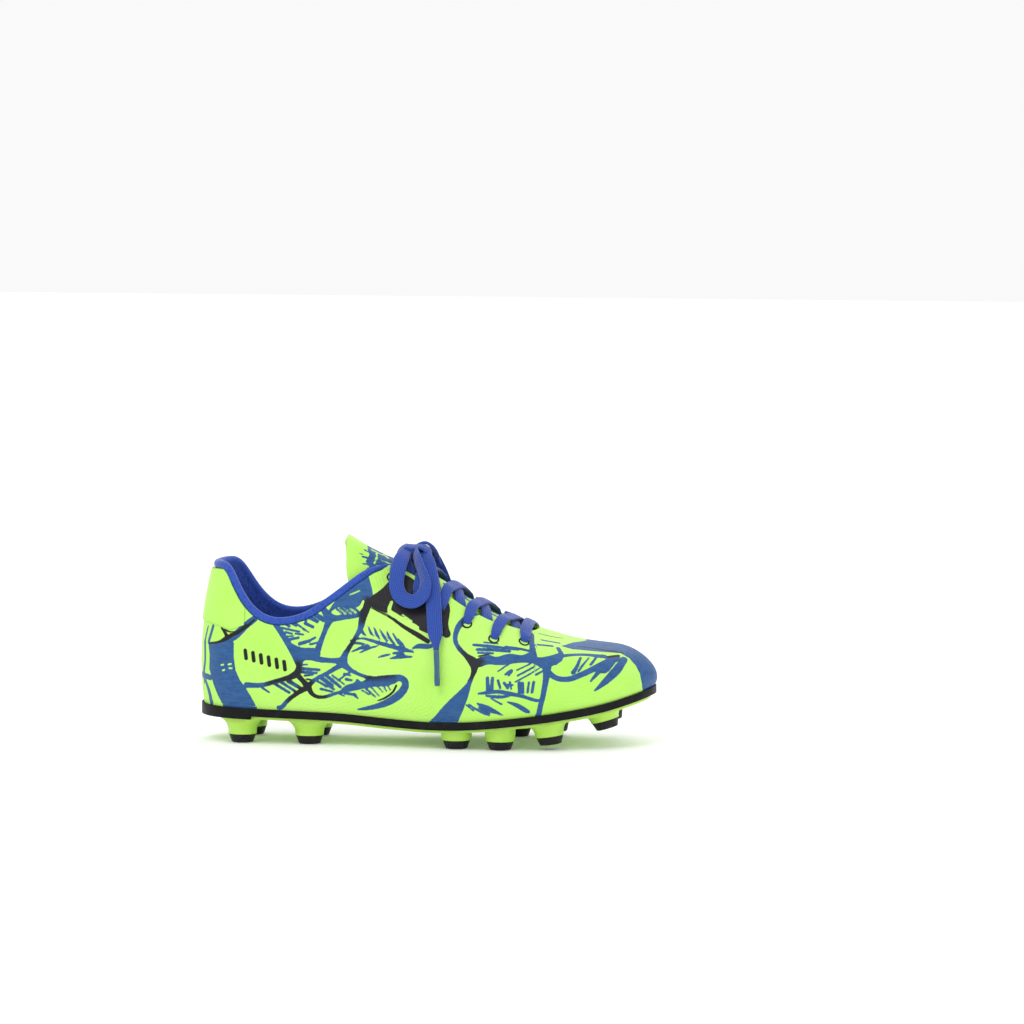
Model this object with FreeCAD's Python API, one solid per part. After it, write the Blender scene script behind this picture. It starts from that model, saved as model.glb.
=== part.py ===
"""Moulded-stud soccer cleat, right foot, youth size.

Frame: +X towards the toe, +Y towards the medial (inner) side, +Z up, origin on the ground
under the middle of the shoe. Millimetres.

The upper, its linings and its stiffeners are layers cut from one lasted form: a closed body
whose wall starts on the feather line, where upper meets sole, and closes over the instep.
"""
import FreeCAD, Part

import math
import os

Vector = FreeCAD.Vector
os.makedirs("parts", exist_ok=True)

# ---------------------------------------------------------------- driving dimensions
# Feather line in plan, heel to toe: (x, lateral y, medial y)
HEEL_TIP = (-113.9, 3.0)
TOE_TIP = (114.2, 7.5)
OUTLINE = [
    (-109.0, -13.5, 19.0),
    (-100.0, -22.0, 27.5),
    (-86.0, -26.0, 31.0),
    (-65.0, -27.0, 30.5),
    (-40.0, -27.5, 27.0),
    (-15.0, -30.5, 25.5),
    (10.0, -36.5, 29.5),
    (35.0, -40.3, 36.0),
    (55.0, -40.4, 40.2),
    (72.0, -37.0, 40.0),
    (87.0, -30.5, 36.5),
    (99.0, -21.5, 30.5),
    (108.0, -11.0, 23.0),
]
# Height of the feather line above the ground, along x
FEATHER_Z = [(-116, 18.1), (-90, 17.6), (-65, 16.8), (-40, 15.8), (-15, 13.9), (3, 13.1),
             (24, 13.6), (49, 16.0), (73, 19.1), (97, 23.4), (110, 27.0), (116, 28.9)]
# Height of the form's ridge, along x; behind the instep it is above the foot opening
RIDGE_Z = [(-90, 124), (-75, 121), (-55, 115), (-39.5, 108.6), (-30, 103.0), (-17, 97.0),
           (-6, 93), (4, 88.5), (11, 84.3), (18, 79.3), (29, 72.7), (44, 64.8), (56, 58.6), (67, 55),
           (76, 52.6), (86, 51), (92, 50.2)]
RIDGE_Y = [(-90, 3), (-40, 1), (0, 0), (40, 1), (92, 7)]
# Squareness of the form's cross-section: 2 is an ellipse
SQUARENESS = [(-116, 2.0), (-80, 2.05), (-45, 2.3), (-15, 2.25), (30, 2.1), (60, 2.1),
              (80, 2.2), (116, 2.2)]
SIDE_BULGE = 2.3            # how far the wall stands out past the feather line
STRAIGHT_REACH = 75.0       # past this, the ridge is squeezed towards its ends
TOE_SQUEEZE, HEEL_SQUEEZE = 18.0, 15.0

GAP = 0.05                  # between pieces that are glued, stitched or pressed together
UPPER_THICK = 1.4           # printed synthetic sheet
LAST_MARGIN = 10.0          # how far the upper turns in under the board
COUNTER = (1.45, 2.9)       # layer depths below the form's surface: from, to
FOAM = (1.45, 3.3)
LINING = (3.4, 4.2)
TOE_PUFF = (1.45, 2.3)
VAMP_LINING = (2.4, 3.1)
PATCH = (-0.85, -0.05)
BOARD_THICK = 2.0
BOARD_INSET = 4.4
SOCK_THICK = 4.0
SOCK_INSET = 5.6
SOCK_GAP = 0.3              # the insole lies loose on the board

RIM_HEIGHT = 3.4
RIM_PROUD = 1.3
RIM_WIDTH = 6.0
RIM_LIP = 0.6               # the rim's outer edge stands up around the upper
HEEL_RIM, HEEL_RIM_FRONT = 5.0, -86.0
PLATE_DROP = 1.6            # the plate stands this far below the rim
PLATE_INSET = 1.6

TIP_HEIGHT = 4.2
TIP_TOP_R, TIP_END_R = 6.9, 5.4
PEG_R, PEG_HEIGHT, PEG_GAP = 2.4, 2.0, 0.05

RIB_BACK, RIB_LENGTH, RIB_WIDTH, RIB_HEIGHT = -38.0, 40.0, 3.0, 1.4
RIB_Y = (-10.0, -1.0, 8.0)

# Studs: name, x, y, height of the tip's lower face, base radius at the plate, lean (deg)
STUDS = [
    ("heel_rear_lateral", -92.0, -14.5, 0.0, 11.5, 0),
    ("heel_rear_medial", -92.0, 20.0, 0.0, 11.5, 0),
    ("heel_front_lateral", -57.5, -16.5, 0.0, 11.5, 0),
    ("heel_front_medial", -58.5, 19.5, 0.0, 11.5, 0),
    ("ball_rear_lateral", 18.8, -28.5, 0.0, 7.7, 0),
    ("ball_rear_medial", 13.0, 20.0, 0.0, 7.7, 0),
    ("ball_front_lateral", 41.3, -31.0, 0.0, 7.7, 0),
    ("ball_front_medial", 42.5, 27.5, 0.0, 7.7, 0),
    ("fore_lateral", 66.5, -28.0, 2.6, 10.0, 8),
    ("fore_medial", 62.0, 30.5, 1.9, 10.0, 8),
    ("toe_lateral", 93.5, -15.0, 9.6, 9.5, 16),
    ("toe_medial", 91.0, 23.5, 9.0, 9.5, 16),
]

# Top edge of the quarters in side view, heel to eyestay
COLLAR = [(-119, 89.5), (-109, 90.5), (-103.5, 91), (-99.4, 90.3), (-96, 86.8), (-93.3, 82.0),
          (-88.7, 74.4), (-82.2, 67.6), (-77.4, 65.1), (-71.6, 64.2), (-64.3, 65.2),
          (-56.5, 68.2), (-48.8, 73.6), (-39, 81.0), (-32.3, 86.0), (-26.0, 90.0),
          (-21.0, 92.4), (-17.0, 97.0)]
COLLAR_FRONT = -17.0
COLLAR_ROLL_R = 2.2
ROLL_FRONT = -23.0
FOAM_HEIGHT = 20.0
# Lower edge of the heel patch in side view
PATCH_EDGE = [(-122, 60), (-108, 60.5), (-101, 59), (-97, 58), (-92.5, 59.2), (-88.4, 61),
              (-85.6, 63.2), (-82.0, 67.0), (-79, 72)]
COUNTER_TOP = [(-132, 60), (-110, 60), (-95, 56), (-85, 46), (-72, 38), (-60, 30)]
PUFF_BACK = 80.0
LINING_SEAM = 25.0          # quarter lining behind, vamp lining in front
QUARTER_TOP = [(-27, 95), (-17, 78.0), (-3.5, 69.0), (9.5, 61.5), (25, 54)]
VAMP_TOP = [(25.3, 52), (38, 46), (52, 43), (62, 42)]

# Throat in plan, from the collar to the front end: (x, half width, middle's y)
THROAT = [(-30, 11.6, -1.2), (-17, 12.0, -1.5), (-2, 13.8, -2.4), (10, 15.2, -2.7),
          (24, 16.8, -2.5), (38, 17.5, -1.7), (50, 13.5, -0.4)]
THROAT_FRONT = 57.0
THROAT_FLOOR = 45.0

# Eyelets: (x, height) on each side wall, from the toe to the ankle
EYELETS = [(52.3, 53.5), (37.7, 55.3), (23.7, 62.6), (10.8, 69.4), (-2.3, 76.6), (-15.1, 84.7)]
EYELET_R = 2.1

# Lower edge of the tongue in side view, from its top end to its stitched base
TONGUE_EDGE = [(-39.5, 92.0), (-38.3, 84.5), (-34.5, 78.6), (-28, 75.5), (-16, 71), (-2, 66),
               (12, 60), (28, 54.5), (44, 50), (60, 46)]
TONGUE_SKIN, TONGUE_FOAM, TONGUE_LINING = (4.6, 5.7), (5.75, 8.35), (8.4, 9.1)

LACE_WIDTH, LACE_THICK = 7.6, 1.4
TIGHT_WIDTH = 6.0           # where the lace is pulled tight across the throat
LACE_DEPTH = {"over": -1.05, "high": 0.65, "low": 2.6, "under": 3.0}
START_SHIFT = 2.0           # a crossing lace starts this far behind the eyelet it comes out of
SWAP = 3.5                  # a lace changes from under to over within this of the throat's edge
KNOT_CENTRE, KNOT_RADII = (-6.5, -1.0, 98.9), (9.0, 6.4, 4.3)
TAIL_RISE = 2.6             # how far the ends climb from the eyestay's edge to the knot
CORD_R = 1.9                # a round tube with the flat lace's section area
AGLET_R, AGLET_LENGTH = 1.35, 18.0
# Middle lines of the bow's loops and free ends, and the low ends of the aglets
BOW_LOOP = {
    "lateral": [(-9.5, -8.6, 98.2), (-10.5, -13.7, 95.6), (-11.5, -22.0, 87.0),
                (-12.0, -26.5, 78.0), (-9.0, -29.5, 71.0), (-3.0, -31.0, 68.5),
                (1.5, -30.0, 72.0), (2.0, -25.0, 80.0), (-1.5, -18.5, 88.0),
                (-4.0, -12.5, 94.0), (-5.0, -8.6, 96.8)],
    "medial": [(-9.5, 6.8, 99.4), (-10.5, 11.5, 97.4), (-11.5, 19.5, 89.0),
               (-12.0, 22.5, 78.0), (-9.0, 25.0, 71.0), (-3.0, 26.0, 68.5),
               (1.5, 25.0, 72.0), (2.0, 20.5, 80.0), (-1.5, 15.0, 88.0),
               (-4.0, 9.8, 94.0), (-5.0, 6.6, 96.8)]}
BOW_END = {
    "lateral": [(2.4, -7.6, 95.6), (3.6, -12.0, 92.2), (5.4, -18.0, 86.8), (7.2, -25.0, 79.0),
                (8.2, -31.0, 68.0), (9.0, -35.0, 58.0), (10.0, -38.0, 50.5)],
    "medial": [(2.4, 5.6, 95.6), (3.6, 9.4, 92.2), (5.4, 14.0, 86.8), (7.2, 19.8, 79.0),
               (8.2, 25.5, 68.0), (9.0, 29.0, 58.0), (10.0, 31.0, 50.5)]}
AGLET_END = {"lateral": (11.0, -42.0, 33.0), "medial": (11.0, 34.5, 33.0)}

# ---------------------------------------------------------------- small tools


def smooth(table):
    """A smooth function through a table of (x, value)."""
    xs, ys = [p[0] for p in table], [p[1] for p in table]
    last = len(xs) - 1
    rise = [(ys[i + 1] - ys[i]) / (xs[i + 1] - xs[i]) for i in range(last)]
    slope = [rise[0]]
    for i in range(1, last):
        before, after = xs[i] - xs[i - 1], xs[i + 1] - xs[i]
        slope.append((rise[i - 1] * after + rise[i] * before) / (before + after))
    slope.append(rise[-1])

    def value(x):
        if x <= xs[0]:
            return ys[0] + slope[0] * (x - xs[0])
        if x >= xs[-1]:
            return ys[-1] + slope[-1] * (x - xs[-1])
        i = max(k for k in range(last) if xs[k] <= x)
        span = xs[i + 1] - xs[i]
        s = (x - xs[i]) / span
        return (ys[i] * (1 + 2 * s) * (1 - s) ** 2 + slope[i] * span * s * (1 - s) ** 2
                + ys[i + 1] * s * s * (3 - 2 * s) + slope[i + 1] * span * s * s * (s - 1))

    return value


def spline(points, closed=False, params=None):
    """A B-spline edge through points."""
    curve = Part.BSplineCurve()
    points = [Vector(*p) for p in points]
    if params:
        curve.interpolate(Points=points, Parameters=params)
    else:
        curve.interpolate(Points=points, PeriodicFlag=closed)
    return curve


def held_spline(points, params, start, end):
    """A B-spline through points at the given parameters, with its end derivatives held."""
    curve = Part.BSplineCurve()
    curve.interpolate(Points=points, Parameters=params, InitialTangent=start, FinalTangent=end,
                      Scale=False)
    return curve


def polygon(points):
    return Part.makePolygon([Vector(*p) for p in points] + [Vector(*points[0])])


def one_solid(shape):
    """The largest solid of a boolean's result, with crumbs dropped."""
    solids = sorted(shape.Solids, key=lambda s: s.Volume)
    return solids[-1]


def save(name, *solids):
    """Writes one node: one solid, or several separate ones."""
    solids = [s for shape in solids for s in shape.Solids]
    shape = solids[0] if len(solids) == 1 else Part.makeCompound(solids)
    volume = sum(s.Volume for s in solids)
    good = all(s.isValid() and s.isClosed() and s.Volume > 0 for s in solids)
    print(f"{name:28s} solids {len(solids):2d}  volume {volume:9.1f} mm3  ok {good}")
    shape.exportStep(f"parts/{name}.step")


feather_z, ridge_z, ridge_y = smooth(FEATHER_Z), smooth(RIDGE_Z), smooth(RIDGE_Y)
squareness = smooth(SQUARENESS)
throat_half = smooth([(x, half) for x, half, middle in THROAT])
throat_middle = smooth([(x, middle) for x, half, middle in THROAT])

# ---------------------------------------------------------------- the lasted form

def side_curve(column, facing):
    """One side of the feather line in plan, square to the centre line at heel and toe."""
    points = ([Vector(HEEL_TIP[0], HEEL_TIP[1], 0)]
              + [Vector(row[0], row[column], 0) for row in OUTLINE]
              + [Vector(TOE_TIP[0], TOE_TIP[1], 0)])
    length = [0.0]
    for a, b in zip(points, points[1:]):
        length.append(length[-1] + (b - a).Length)
    return held_spline(points, [d / length[-1] for d in length],
                       Vector(0, facing * length[-1], 0), Vector(0, -facing * length[-1], 0))


LATERAL, MEDIAL = side_curve(1, -1), side_curve(2, 1)
SIDES = {"lateral": (LATERAL, -1), "medial": (MEDIAL, 1)}


def feather_point(side, s, outset=0.0):
    """A point of the feather line in plan, moved outwards by outset."""
    curve, facing = SIDES[side]
    point, tangent = curve.value(s), curve.tangent(s)[0]
    outward = Vector(-tangent.y, tangent.x, 0) * facing
    return point + outward * outset


def ridge_x(x):
    """Where the wall that starts at x on the feather line closes on the ridge."""
    if x > STRAIGHT_REACH:
        return STRAIGHT_REACH + TOE_SQUEEZE * (1 - math.exp((STRAIGHT_REACH - x) / TOE_SQUEEZE))
    if x < -STRAIGHT_REACH:
        return -STRAIGHT_REACH - HEEL_SQUEEZE * (1 - math.exp((x + STRAIGHT_REACH) / HEEL_SQUEEZE))
    return x


def wall_point(side, s, angle, depth=0.0):
    """A point of the form: s runs heel to toe, angle from feather (0) to ridge (90 deg)."""
    middle = (LATERAL.value(s).x + MEDIAL.value(s).x) / 2
    base = feather_point(side, s, -depth)
    x_top = ridge_x(middle)
    top = Vector(x_top, ridge_y(x_top), ridge_z(x_top) - depth)
    low = feather_z(base.x)
    n = squareness(middle)
    c, k = math.cos(math.radians(angle)), math.sin(math.radians(angle))
    size = (c ** n + k ** n) ** (1 / n)
    inwards, up = 1 - c / size, k / size
    bulge = SIDE_BULGE * 6.75 * up * (1 - up) ** 2
    reach = Vector(top.x - base.x, top.y - base.y, 0)
    outwards = reach * (-bulge / max(reach.Length, 1e-6))
    return Vector(base.x + reach.x * inwards + outwards.x,
                  base.y + reach.y * inwards + outwards.y,
                  low + (top.z - low) * up)


COLUMNS = [0.0, 0.012, 0.03, 0.055, 0.085, 0.12, 0.16, 0.21, 0.27, 0.33, 0.39, 0.45, 0.51, 0.57,
           0.63, 0.69, 0.75, 0.80, 0.84, 0.88, 0.915, 0.945, 0.97, 0.988, 1.0]
ROWS = [0, 7, 14, 22, 31, 41, 51, 61, 70, 78, 84, 90]
NEAR = 0.001                # step for the slope at a row's ends
SKIRTS = [-14.0, 6.0]       # straight wall rows below the feather line, so the base is flat


def half_surface(side, depth):
    """One side of the form as a B-spline surface whose edges match the other side's."""
    rows = [("low", z) for z in SKIRTS] + [("wall", a) for a in ROWS]
    row_params = [0.0, 0.09] + [0.16 + 0.84 * a / 90 for a in ROWS]

    def place(kind, value, s):
        if kind == "low":
            base = feather_point(side, s, -depth)
            return Vector(base.x, base.y, value if value < 0 else feather_z(base.x) - value)
        return wall_point(side, s, value, depth)

    grid = []
    for kind, value in rows:
        points = [place(kind, value, s) for s in COLUMNS]
        start = (place(kind, value, NEAR) - points[0]) / NEAR
        end = (points[-1] - place(kind, value, 1 - NEAR)) / NEAR
        grid.append(held_spline(points, COLUMNS, Vector(0.01, start.y, 0), Vector(0.01, end.y, 0)))
    knots, mults = grid[0].getKnots(), grid[0].getMultiplicities()
    columns = []
    for j in range(grid[0].NbPoles):
        curve = Part.BSplineCurve()
        curve.interpolate(Points=[c.getPole(j + 1) for c in grid], Parameters=row_params)
        columns.append(curve)
    surface = Part.BSplineSurface()
    surface.buildFromPolesMultsKnots([c.getPoles() for c in columns], mults,
                                     columns[0].getMultiplicities(), knots,
                                     columns[0].getKnots(), False, False, 3, 3)
    return surface


def form(depth):
    """The lasted form as a solid, its surface taken in by depth. Its base is flat and low."""
    faces = [half_surface(side, depth).toShape() for side in SIDES]
    base = [min(face.Edges, key=lambda e: e.CenterOfMass.z) for face in faces]
    faces.append(Part.Face(Part.Wire(base)))
    shell = Part.Shell(faces)
    shell.sewShape()
    solid = Part.Solid(shell)
    if solid.Volume < 0:
        solid.reverse()
    return solid


forms = {}


def form_at(depth):
    if depth not in forms:
        forms[depth] = form(depth)
    return forms[depth]


def layer(outer, inner):
    """What lies between two depths below the form's surface."""
    return form_at(outer).cut(form_at(inner))


# ---------------------------------------------------------------- cutters

STATIONS = list(range(-132, 133, 6))


def side_prism(curve_points, closing):
    """A prism across the shoe: a smooth side-view curve, closed by straight lines."""
    curve = spline([(x, -80, z) for x, z in curve_points]).toShape()
    corners = [curve_points[-1]] + closing + [curve_points[0]]
    lines = Part.makePolygon([Vector(x, -80, z) for x, z in corners])
    return Part.Face(Part.Wire([curve] + lines.Edges)).extrude(Vector(0, 160, 0))


def above(offset):
    """All that is higher than the feather line raised by offset."""
    return side_prism([(x, feather_z(x) + offset) for x in STATIONS], [(132, 190), (-132, 190)])


def band(low, high):
    """A slab that follows the feather line's height, between two offsets from it."""
    return side_prism([(x, feather_z(x) + low) for x in STATIONS],
                      [(132, 190), (-132, 190)]).cut(above(high))


def plan_prism(outset):
    """A vertical prism on the feather line's outline, moved outwards by outset."""
    edges = []
    for side in SIDES:
        points = [feather_point(side, s, outset) for s in COLUMNS]
        start = (feather_point(side, NEAR, outset) - points[0]) / NEAR
        end = (points[-1] - feather_point(side, 1 - NEAR, outset)) / NEAR
        edges.append(held_spline(points, COLUMNS, Vector(0, start.y, 0),
                                 Vector(0, end.y, 0)).toShape())
    prism = Part.Face(Part.Wire(edges)).extrude(Vector(0, 0, 240))
    prism.translate(Vector(0, 0, -40))
    return prism


def moved_in(table, distance):
    """A side-view curve moved down, square to itself."""
    curve = smooth(table)
    first, last = table[0][0], table[-1][0]
    result = []
    for i in range(61):
        x = first + (last - first) * i / 60
        slope = (curve(x + 0.2) - curve(x - 0.2)) / 0.4
        size = math.sqrt(1 + slope * slope)
        result.append((x + slope / size * distance, curve(x) - distance / size))
    return result


def mouth(drop):
    """The foot opening behind the eyestays, its edge moved in by drop."""
    edge = [p for p in moved_in(COLLAR, drop) if p[0] < COLLAR_FRONT]
    return side_prism(edge, [(COLLAR_FRONT, edge[-1][1]), (COLLAR_FRONT, 190), (-132, 190),
                             (-132, edge[0][1])])


def throat():
    """The lace opening, as a prism from THROAT_FLOOR upwards."""
    right = [(x, middle + half) for x, half, middle in THROAT]
    left = [(x, middle - half) for x, half, middle in reversed(THROAT)]
    nose = [(THROAT_FRONT - 2.2, 7.0), (THROAT_FRONT, 0.0), (THROAT_FRONT - 2.2, -7.0)]
    curve = spline([(x, y, THROAT_FLOOR) for x, y in right + nose + left]).toShape()
    ends = [v.Point for v in curve.Vertexes]
    return Part.Face(Part.Wire([curve, Part.makeLine(ends[1], ends[0])])).extrude(Vector(0, 0, 90))


def on_wall(side, x, z, depth=0.0):
    """s and angle of the wall's point at (x, z)."""
    s, angle = (x + 114) / 228, 45.0
    for _ in range(60):
        here = wall_point(side, s, angle, depth)
        by_s = (wall_point(side, s + 1e-4, angle, depth) - here) / 1e-4
        by_a = (wall_point(side, s, angle + 0.01, depth) - here) / 0.01
        dx, dz = x - here.x, z - here.z
        if abs(dx) + abs(dz) < 1e-6:
            break
        det = by_s.x * by_a.z - by_a.x * by_s.z
        s += max(-0.05, min(0.05, (dx * by_a.z - by_a.x * dz) / det))
        angle += max(-8, min(8, (by_s.x * dz - dx * by_s.z) / det))
        s, angle = min(0.999, max(0.001, s)), min(89.0, max(1.0, angle))
    return s, angle


def under(side, x, y, depth):
    """The form's point straight above (x, y), and its outward normal there."""
    s, angle = (x + 114) / 228, 70.0
    for _ in range(60):
        here = wall_point(side, s, angle, depth)
        by_s = (wall_point(side, s + 1e-4, angle, depth) - here) / 1e-4
        by_a = (wall_point(side, s, angle + 0.01, depth) - here) / 0.01
        dx, dy = x - here.x, y - here.y
        if abs(dx) + abs(dy) < 1e-6:
            break
        det = by_s.x * by_a.y - by_a.x * by_s.y
        s += max(-0.05, min(0.05, (dx * by_a.y - by_a.x * dy) / det))
        angle += max(-8, min(8, (by_s.x * dy - dx * by_s.y) / det))
        angle = min(89.9, max(1.0, angle))
    normal = by_s.cross(by_a)
    normal.normalize()
    return here, normal if normal.z > 0 else -normal


# ---------------------------------------------------------------- upper and its layers

eyelet_holes, eyelet_places = [], {}
for side in SIDES:
    for row, (x, z) in enumerate(EYELETS, 1):
        s, angle = on_wall(side, x, z)
        place = wall_point(side, s, angle)
        place, normal = under(side, place.x, place.y, 0.0)
        eyelet_places[side, row] = (place, normal)
        eyelet_holes.append(Part.makeCylinder(EYELET_R, 12, place - normal * 8, normal))

trim = COLLAR_ROLL_R * 2 + GAP
opening = mouth(trim)
lace_slot = throat()
hollow = form_at(UPPER_THICK).common(above(UPPER_THICK))
margin_hole = plan_prism(-LAST_MARGIN).common(band(-2, UPPER_THICK + 1))
upper = form_at(0.0).common(above(0.0)).cut(hollow).cut(margin_hole)
upper = upper.cut(opening).cut(lace_slot).cut(eyelet_holes)
save("upper_shell", one_solid(upper))

patch_region = side_prism(PATCH_EDGE, [(-79, 190), (-132, 190), (-132, 60)])
patch = layer(*PATCH).common(patch_region).cut(opening)
save("heel_patch", one_solid(patch))

above_board = above(UPPER_THICK + GAP)
counter_region = side_prism(COUNTER_TOP, [(-60, -30), (-132, -30)])
counter = layer(*COUNTER).common(above_board).common(counter_region)
save("heel_counter", one_solid(counter))

foam_floor = side_prism([(x, z - FOAM_HEIGHT) for x, z in moved_in(COLLAR, trim)],
                        [(COLLAR_FRONT, 190), (-132, 190)])
foam_region = side_prism([(-26, 0), (-26, 190)], [(-132, 190), (-132, 0)])
over_counter = side_prism([(x, z + 2 * GAP) for x, z in COUNTER_TOP], [(-60, -30), (-132, -30)])
foam = layer(*FOAM).common(foam_floor).common(foam_region).cut(opening).cut(over_counter)
save("collar_foam", one_solid(foam))

quarter_region = side_prism(QUARTER_TOP, [(LINING_SEAM, -30), (-132, -30), (-132, 190), (-27, 190)])
quarter = layer(*LINING).common(above_board).common(quarter_region).cut(opening)
save("quarter_lining", one_solid(quarter))

vamp_region = side_prism(VAMP_TOP, [(62, 190), (132, 190), (132, -30), (25.3, -30)])
vamp = layer(*VAMP_LINING).common(above_board).common(vamp_region)
save("vamp_lining", one_solid(vamp))

puff_region = side_prism([(PUFF_BACK, -30), (PUFF_BACK, 190)], [(132, 190), (132, -30)])
save("toe_puff", one_solid(layer(*TOE_PUFF).common(above_board).common(puff_region)))

# The rolled collar edge: a tube that runs from one eyestay round the heel to the other
roll_edge = smooth(moved_in(COLLAR, COLLAR_ROLL_R))


def on_roll(side, s):
    """The middle of the rolled edge at s."""
    low, high = 20.0, 89.5
    for _ in range(40):
        angle = (low + high) / 2
        point = wall_point(side, s, angle, 2.1)
        low, high = (angle, high) if point.z < roll_edge(point.x) else (low, angle)
    return point


roll_points = []
for side in ("lateral", "medial"):
    run = [on_roll(side, s) for s in (0.0, 0.015, 0.03, 0.05, 0.07, 0.09, 0.11, 0.13, 0.15, 0.17,
                                      0.19, 0.215, 0.24, 0.265, 0.29, 0.315, 0.34, 0.365, 0.39)]
    run = [p for p in run if p.x < ROLL_FRONT]
    roll_points += run[::-1] if side == "lateral" else run[1:]
roll_path = spline([tuple(p) for p in roll_points])
start, heading = roll_points[0], roll_path.tangent(roll_path.FirstParameter)[0]
ring = Part.Wire([Part.makeCircle(COLLAR_ROLL_R, start, heading)])
roll = Part.Wire([roll_path.toShape()]).makePipeShell([ring], True, True)
roll = roll.fuse([Part.makeSphere(COLLAR_ROLL_R, p) for p in (roll_points[0], roll_points[-1])])
save("collar_roll", one_solid(roll))

# ---------------------------------------------------------------- board, insole, sole

board_low = UPPER_THICK + GAP
board = plan_prism(-BOARD_INSET).common(band(board_low, board_low + BOARD_THICK))
save("lasting_board", one_solid(board))
sock_low = board_low + BOARD_THICK + SOCK_GAP
sock = plan_prism(-SOCK_INSET).common(band(sock_low, sock_low + SOCK_THICK))
save("sockliner", one_solid(sock))

rim_outer = plan_prism(RIM_PROUD)
rim = rim_outer.common(band(-RIM_HEIGHT, RIM_LIP)).cut(plan_prism(-RIM_WIDTH))
rim = rim.cut(form_at(-GAP).common(above(-GAP)))
heel_rim = rim_outer.common(band(-HEEL_RIM, -RIM_HEIGHT + 0.1)).cut(plan_prism(-PLATE_INSET + GAP))
heel_rim = heel_rim.common(side_prism([(HEEL_RIM_FRONT, -30), (HEEL_RIM_FRONT, 60)],
                                      [(-132, 60), (-132, -30)]))
save("rim", one_solid(rim.fuse(heel_rim)))

plate_edge = plan_prism(-PLATE_INSET)
plate_low = RIM_HEIGHT + PLATE_DROP
plate = plate_edge.common(band(-plate_low, -RIM_HEIGHT - GAP))
core = plan_prism(-RIM_WIDTH - GAP).common(band(-RIM_HEIGHT - 0.5, -GAP))
bases, sockets = [], []
for name, x, y, z, base_r, lean in STUDS:
    turn = FreeCAD.Rotation(Vector(0, 1, 0), -lean)
    place = FreeCAD.Placement(Vector(x, y, z), turn)
    top = (feather_z(x) - plate_low - z) / math.cos(math.radians(lean))
    flank = spline([(TIP_TOP_R + 0.3, 0, TIP_HEIGHT + GAP),
                    (TIP_TOP_R + 0.7, 0, TIP_HEIGHT + (top - TIP_HEIGHT) * 0.45),
                    (base_r, 0, top)]).toShape()
    lid = [(base_r, 0, top), (base_r, 0, top + 4), (0, 0, top + 4), (0, 0, TIP_HEIGHT + GAP),
           (TIP_TOP_R + 0.3, 0, TIP_HEIGHT + GAP)]
    half = Part.Face(Part.Wire([flank] + Part.makePolygon([Vector(*p) for p in lid]).Edges))
    base = half.revolve(Vector(0, 0, 0), Vector(0, 0, 1), 360)
    base.Placement = place
    bases.append(base)
    socket = Part.makeCylinder(PEG_R + GAP, PEG_HEIGHT + GAP, Vector(0, 0, TIP_HEIGHT))
    socket.Placement = place
    sockets.append(socket)
    tip = Part.makeCone(TIP_END_R, TIP_TOP_R, TIP_HEIGHT)
    tip = tip.makeFillet(0.7, [e for e in tip.Edges if e.CenterOfMass.z < 0.1 and e.Length > 1
                               and e.isClosed()])
    tip = tip.fuse(Part.makeCylinder(PEG_R, PEG_HEIGHT + 0.5, Vector(0, 0, TIP_HEIGHT - 0.5)))
    tip.Placement = place
    save(f"tip_{name}", one_solid(tip))
low_zone = band(-60, -RIM_HEIGHT - GAP).common(plate_edge)
bases = [one_solid(base.common(low_zone)) for base in bases]
ribs = [Part.makeBox(RIB_LENGTH, RIB_WIDTH, 30, Vector(RIB_BACK, y - RIB_WIDTH / 2, 0))
        for y in RIB_Y]
ribs = [one_solid(rib.common(band(-plate_low - RIB_HEIGHT, -plate_low + 0.4))) for rib in ribs]
plate = plate.fuse([core] + bases + ribs).cut(sockets).removeSplitter()
save("outsole_plate", one_solid(plate))

# ---------------------------------------------------------------- tongue

tongue_region = side_prism(TONGUE_EDGE, [(60, 190), (-39.5, 190)])
for name, depths in (("tongue_skin", TONGUE_SKIN), ("tongue_foam", TONGUE_FOAM),
                     ("tongue_lining", TONGUE_LINING)):
    save(name, one_solid(layer(*depths).common(tongue_region)))

# ---------------------------------------------------------------- laces


def lace_depth(e, half, height):
    """Depth of a crossing lace at e: below the edge it comes from, above the one it goes to."""
    over, middle, low = LACE_DEPTH["over"], LACE_DEPTH[height], LACE_DEPTH["under"]

    def ease(t):
        t = max(0.0, min(1.0, t))
        return t * t * (3 - 2 * t)

    if e < 0:
        return low + (middle - low) * ease((e + half - 0.3) / (SWAP - 0.3))
    if height == "low":
        return middle + (over - middle) * ease((e - half + SWAP) / (SWAP - 0.3))
    return middle + (over - middle) * ease((e - 5.5) / (half - 7.0))


def bar(centre, across, upwards, width=TIGHT_WIDTH, thick=LACE_THICK):
    """One cross-section of a flat lace."""
    across, upwards = Vector(across), Vector(upwards)
    across.normalize()
    upwards.normalize()
    a, u = across * (width / 2), upwards * (thick / 2)
    return Part.makePolygon([centre - a + u, centre + a + u, centre + a - u, centre - a - u,
                             centre - a + u])


def skin_of(sections):
    """A closed ribbon through cross-sections."""
    return Part.makeLoft(sections, True, True)


def lace_section(x, y, heading, depth_at):
    """A flat lace's cross-section above (x, y), heading along a plan direction."""
    side_of = Vector(-heading.y, heading.x, 0)

    def on(px, py):
        return under("medial" if py > 0 else "lateral", px, py, depth_at(px, py))[0]

    centre = Vector(x, y, 0)
    reach = TIGHT_WIDTH / 2
    for _ in range(3):
        left, right = centre + side_of * reach, centre - side_of * reach
        left, right = on(left.x, left.y), on(right.x, right.y)
        reach *= TIGHT_WIDTH / (left - right).Length
    middle = on(x, y)
    across = right - left
    normal = across.cross(heading)
    return middle, across, normal if normal.z > 0 else -normal


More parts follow.
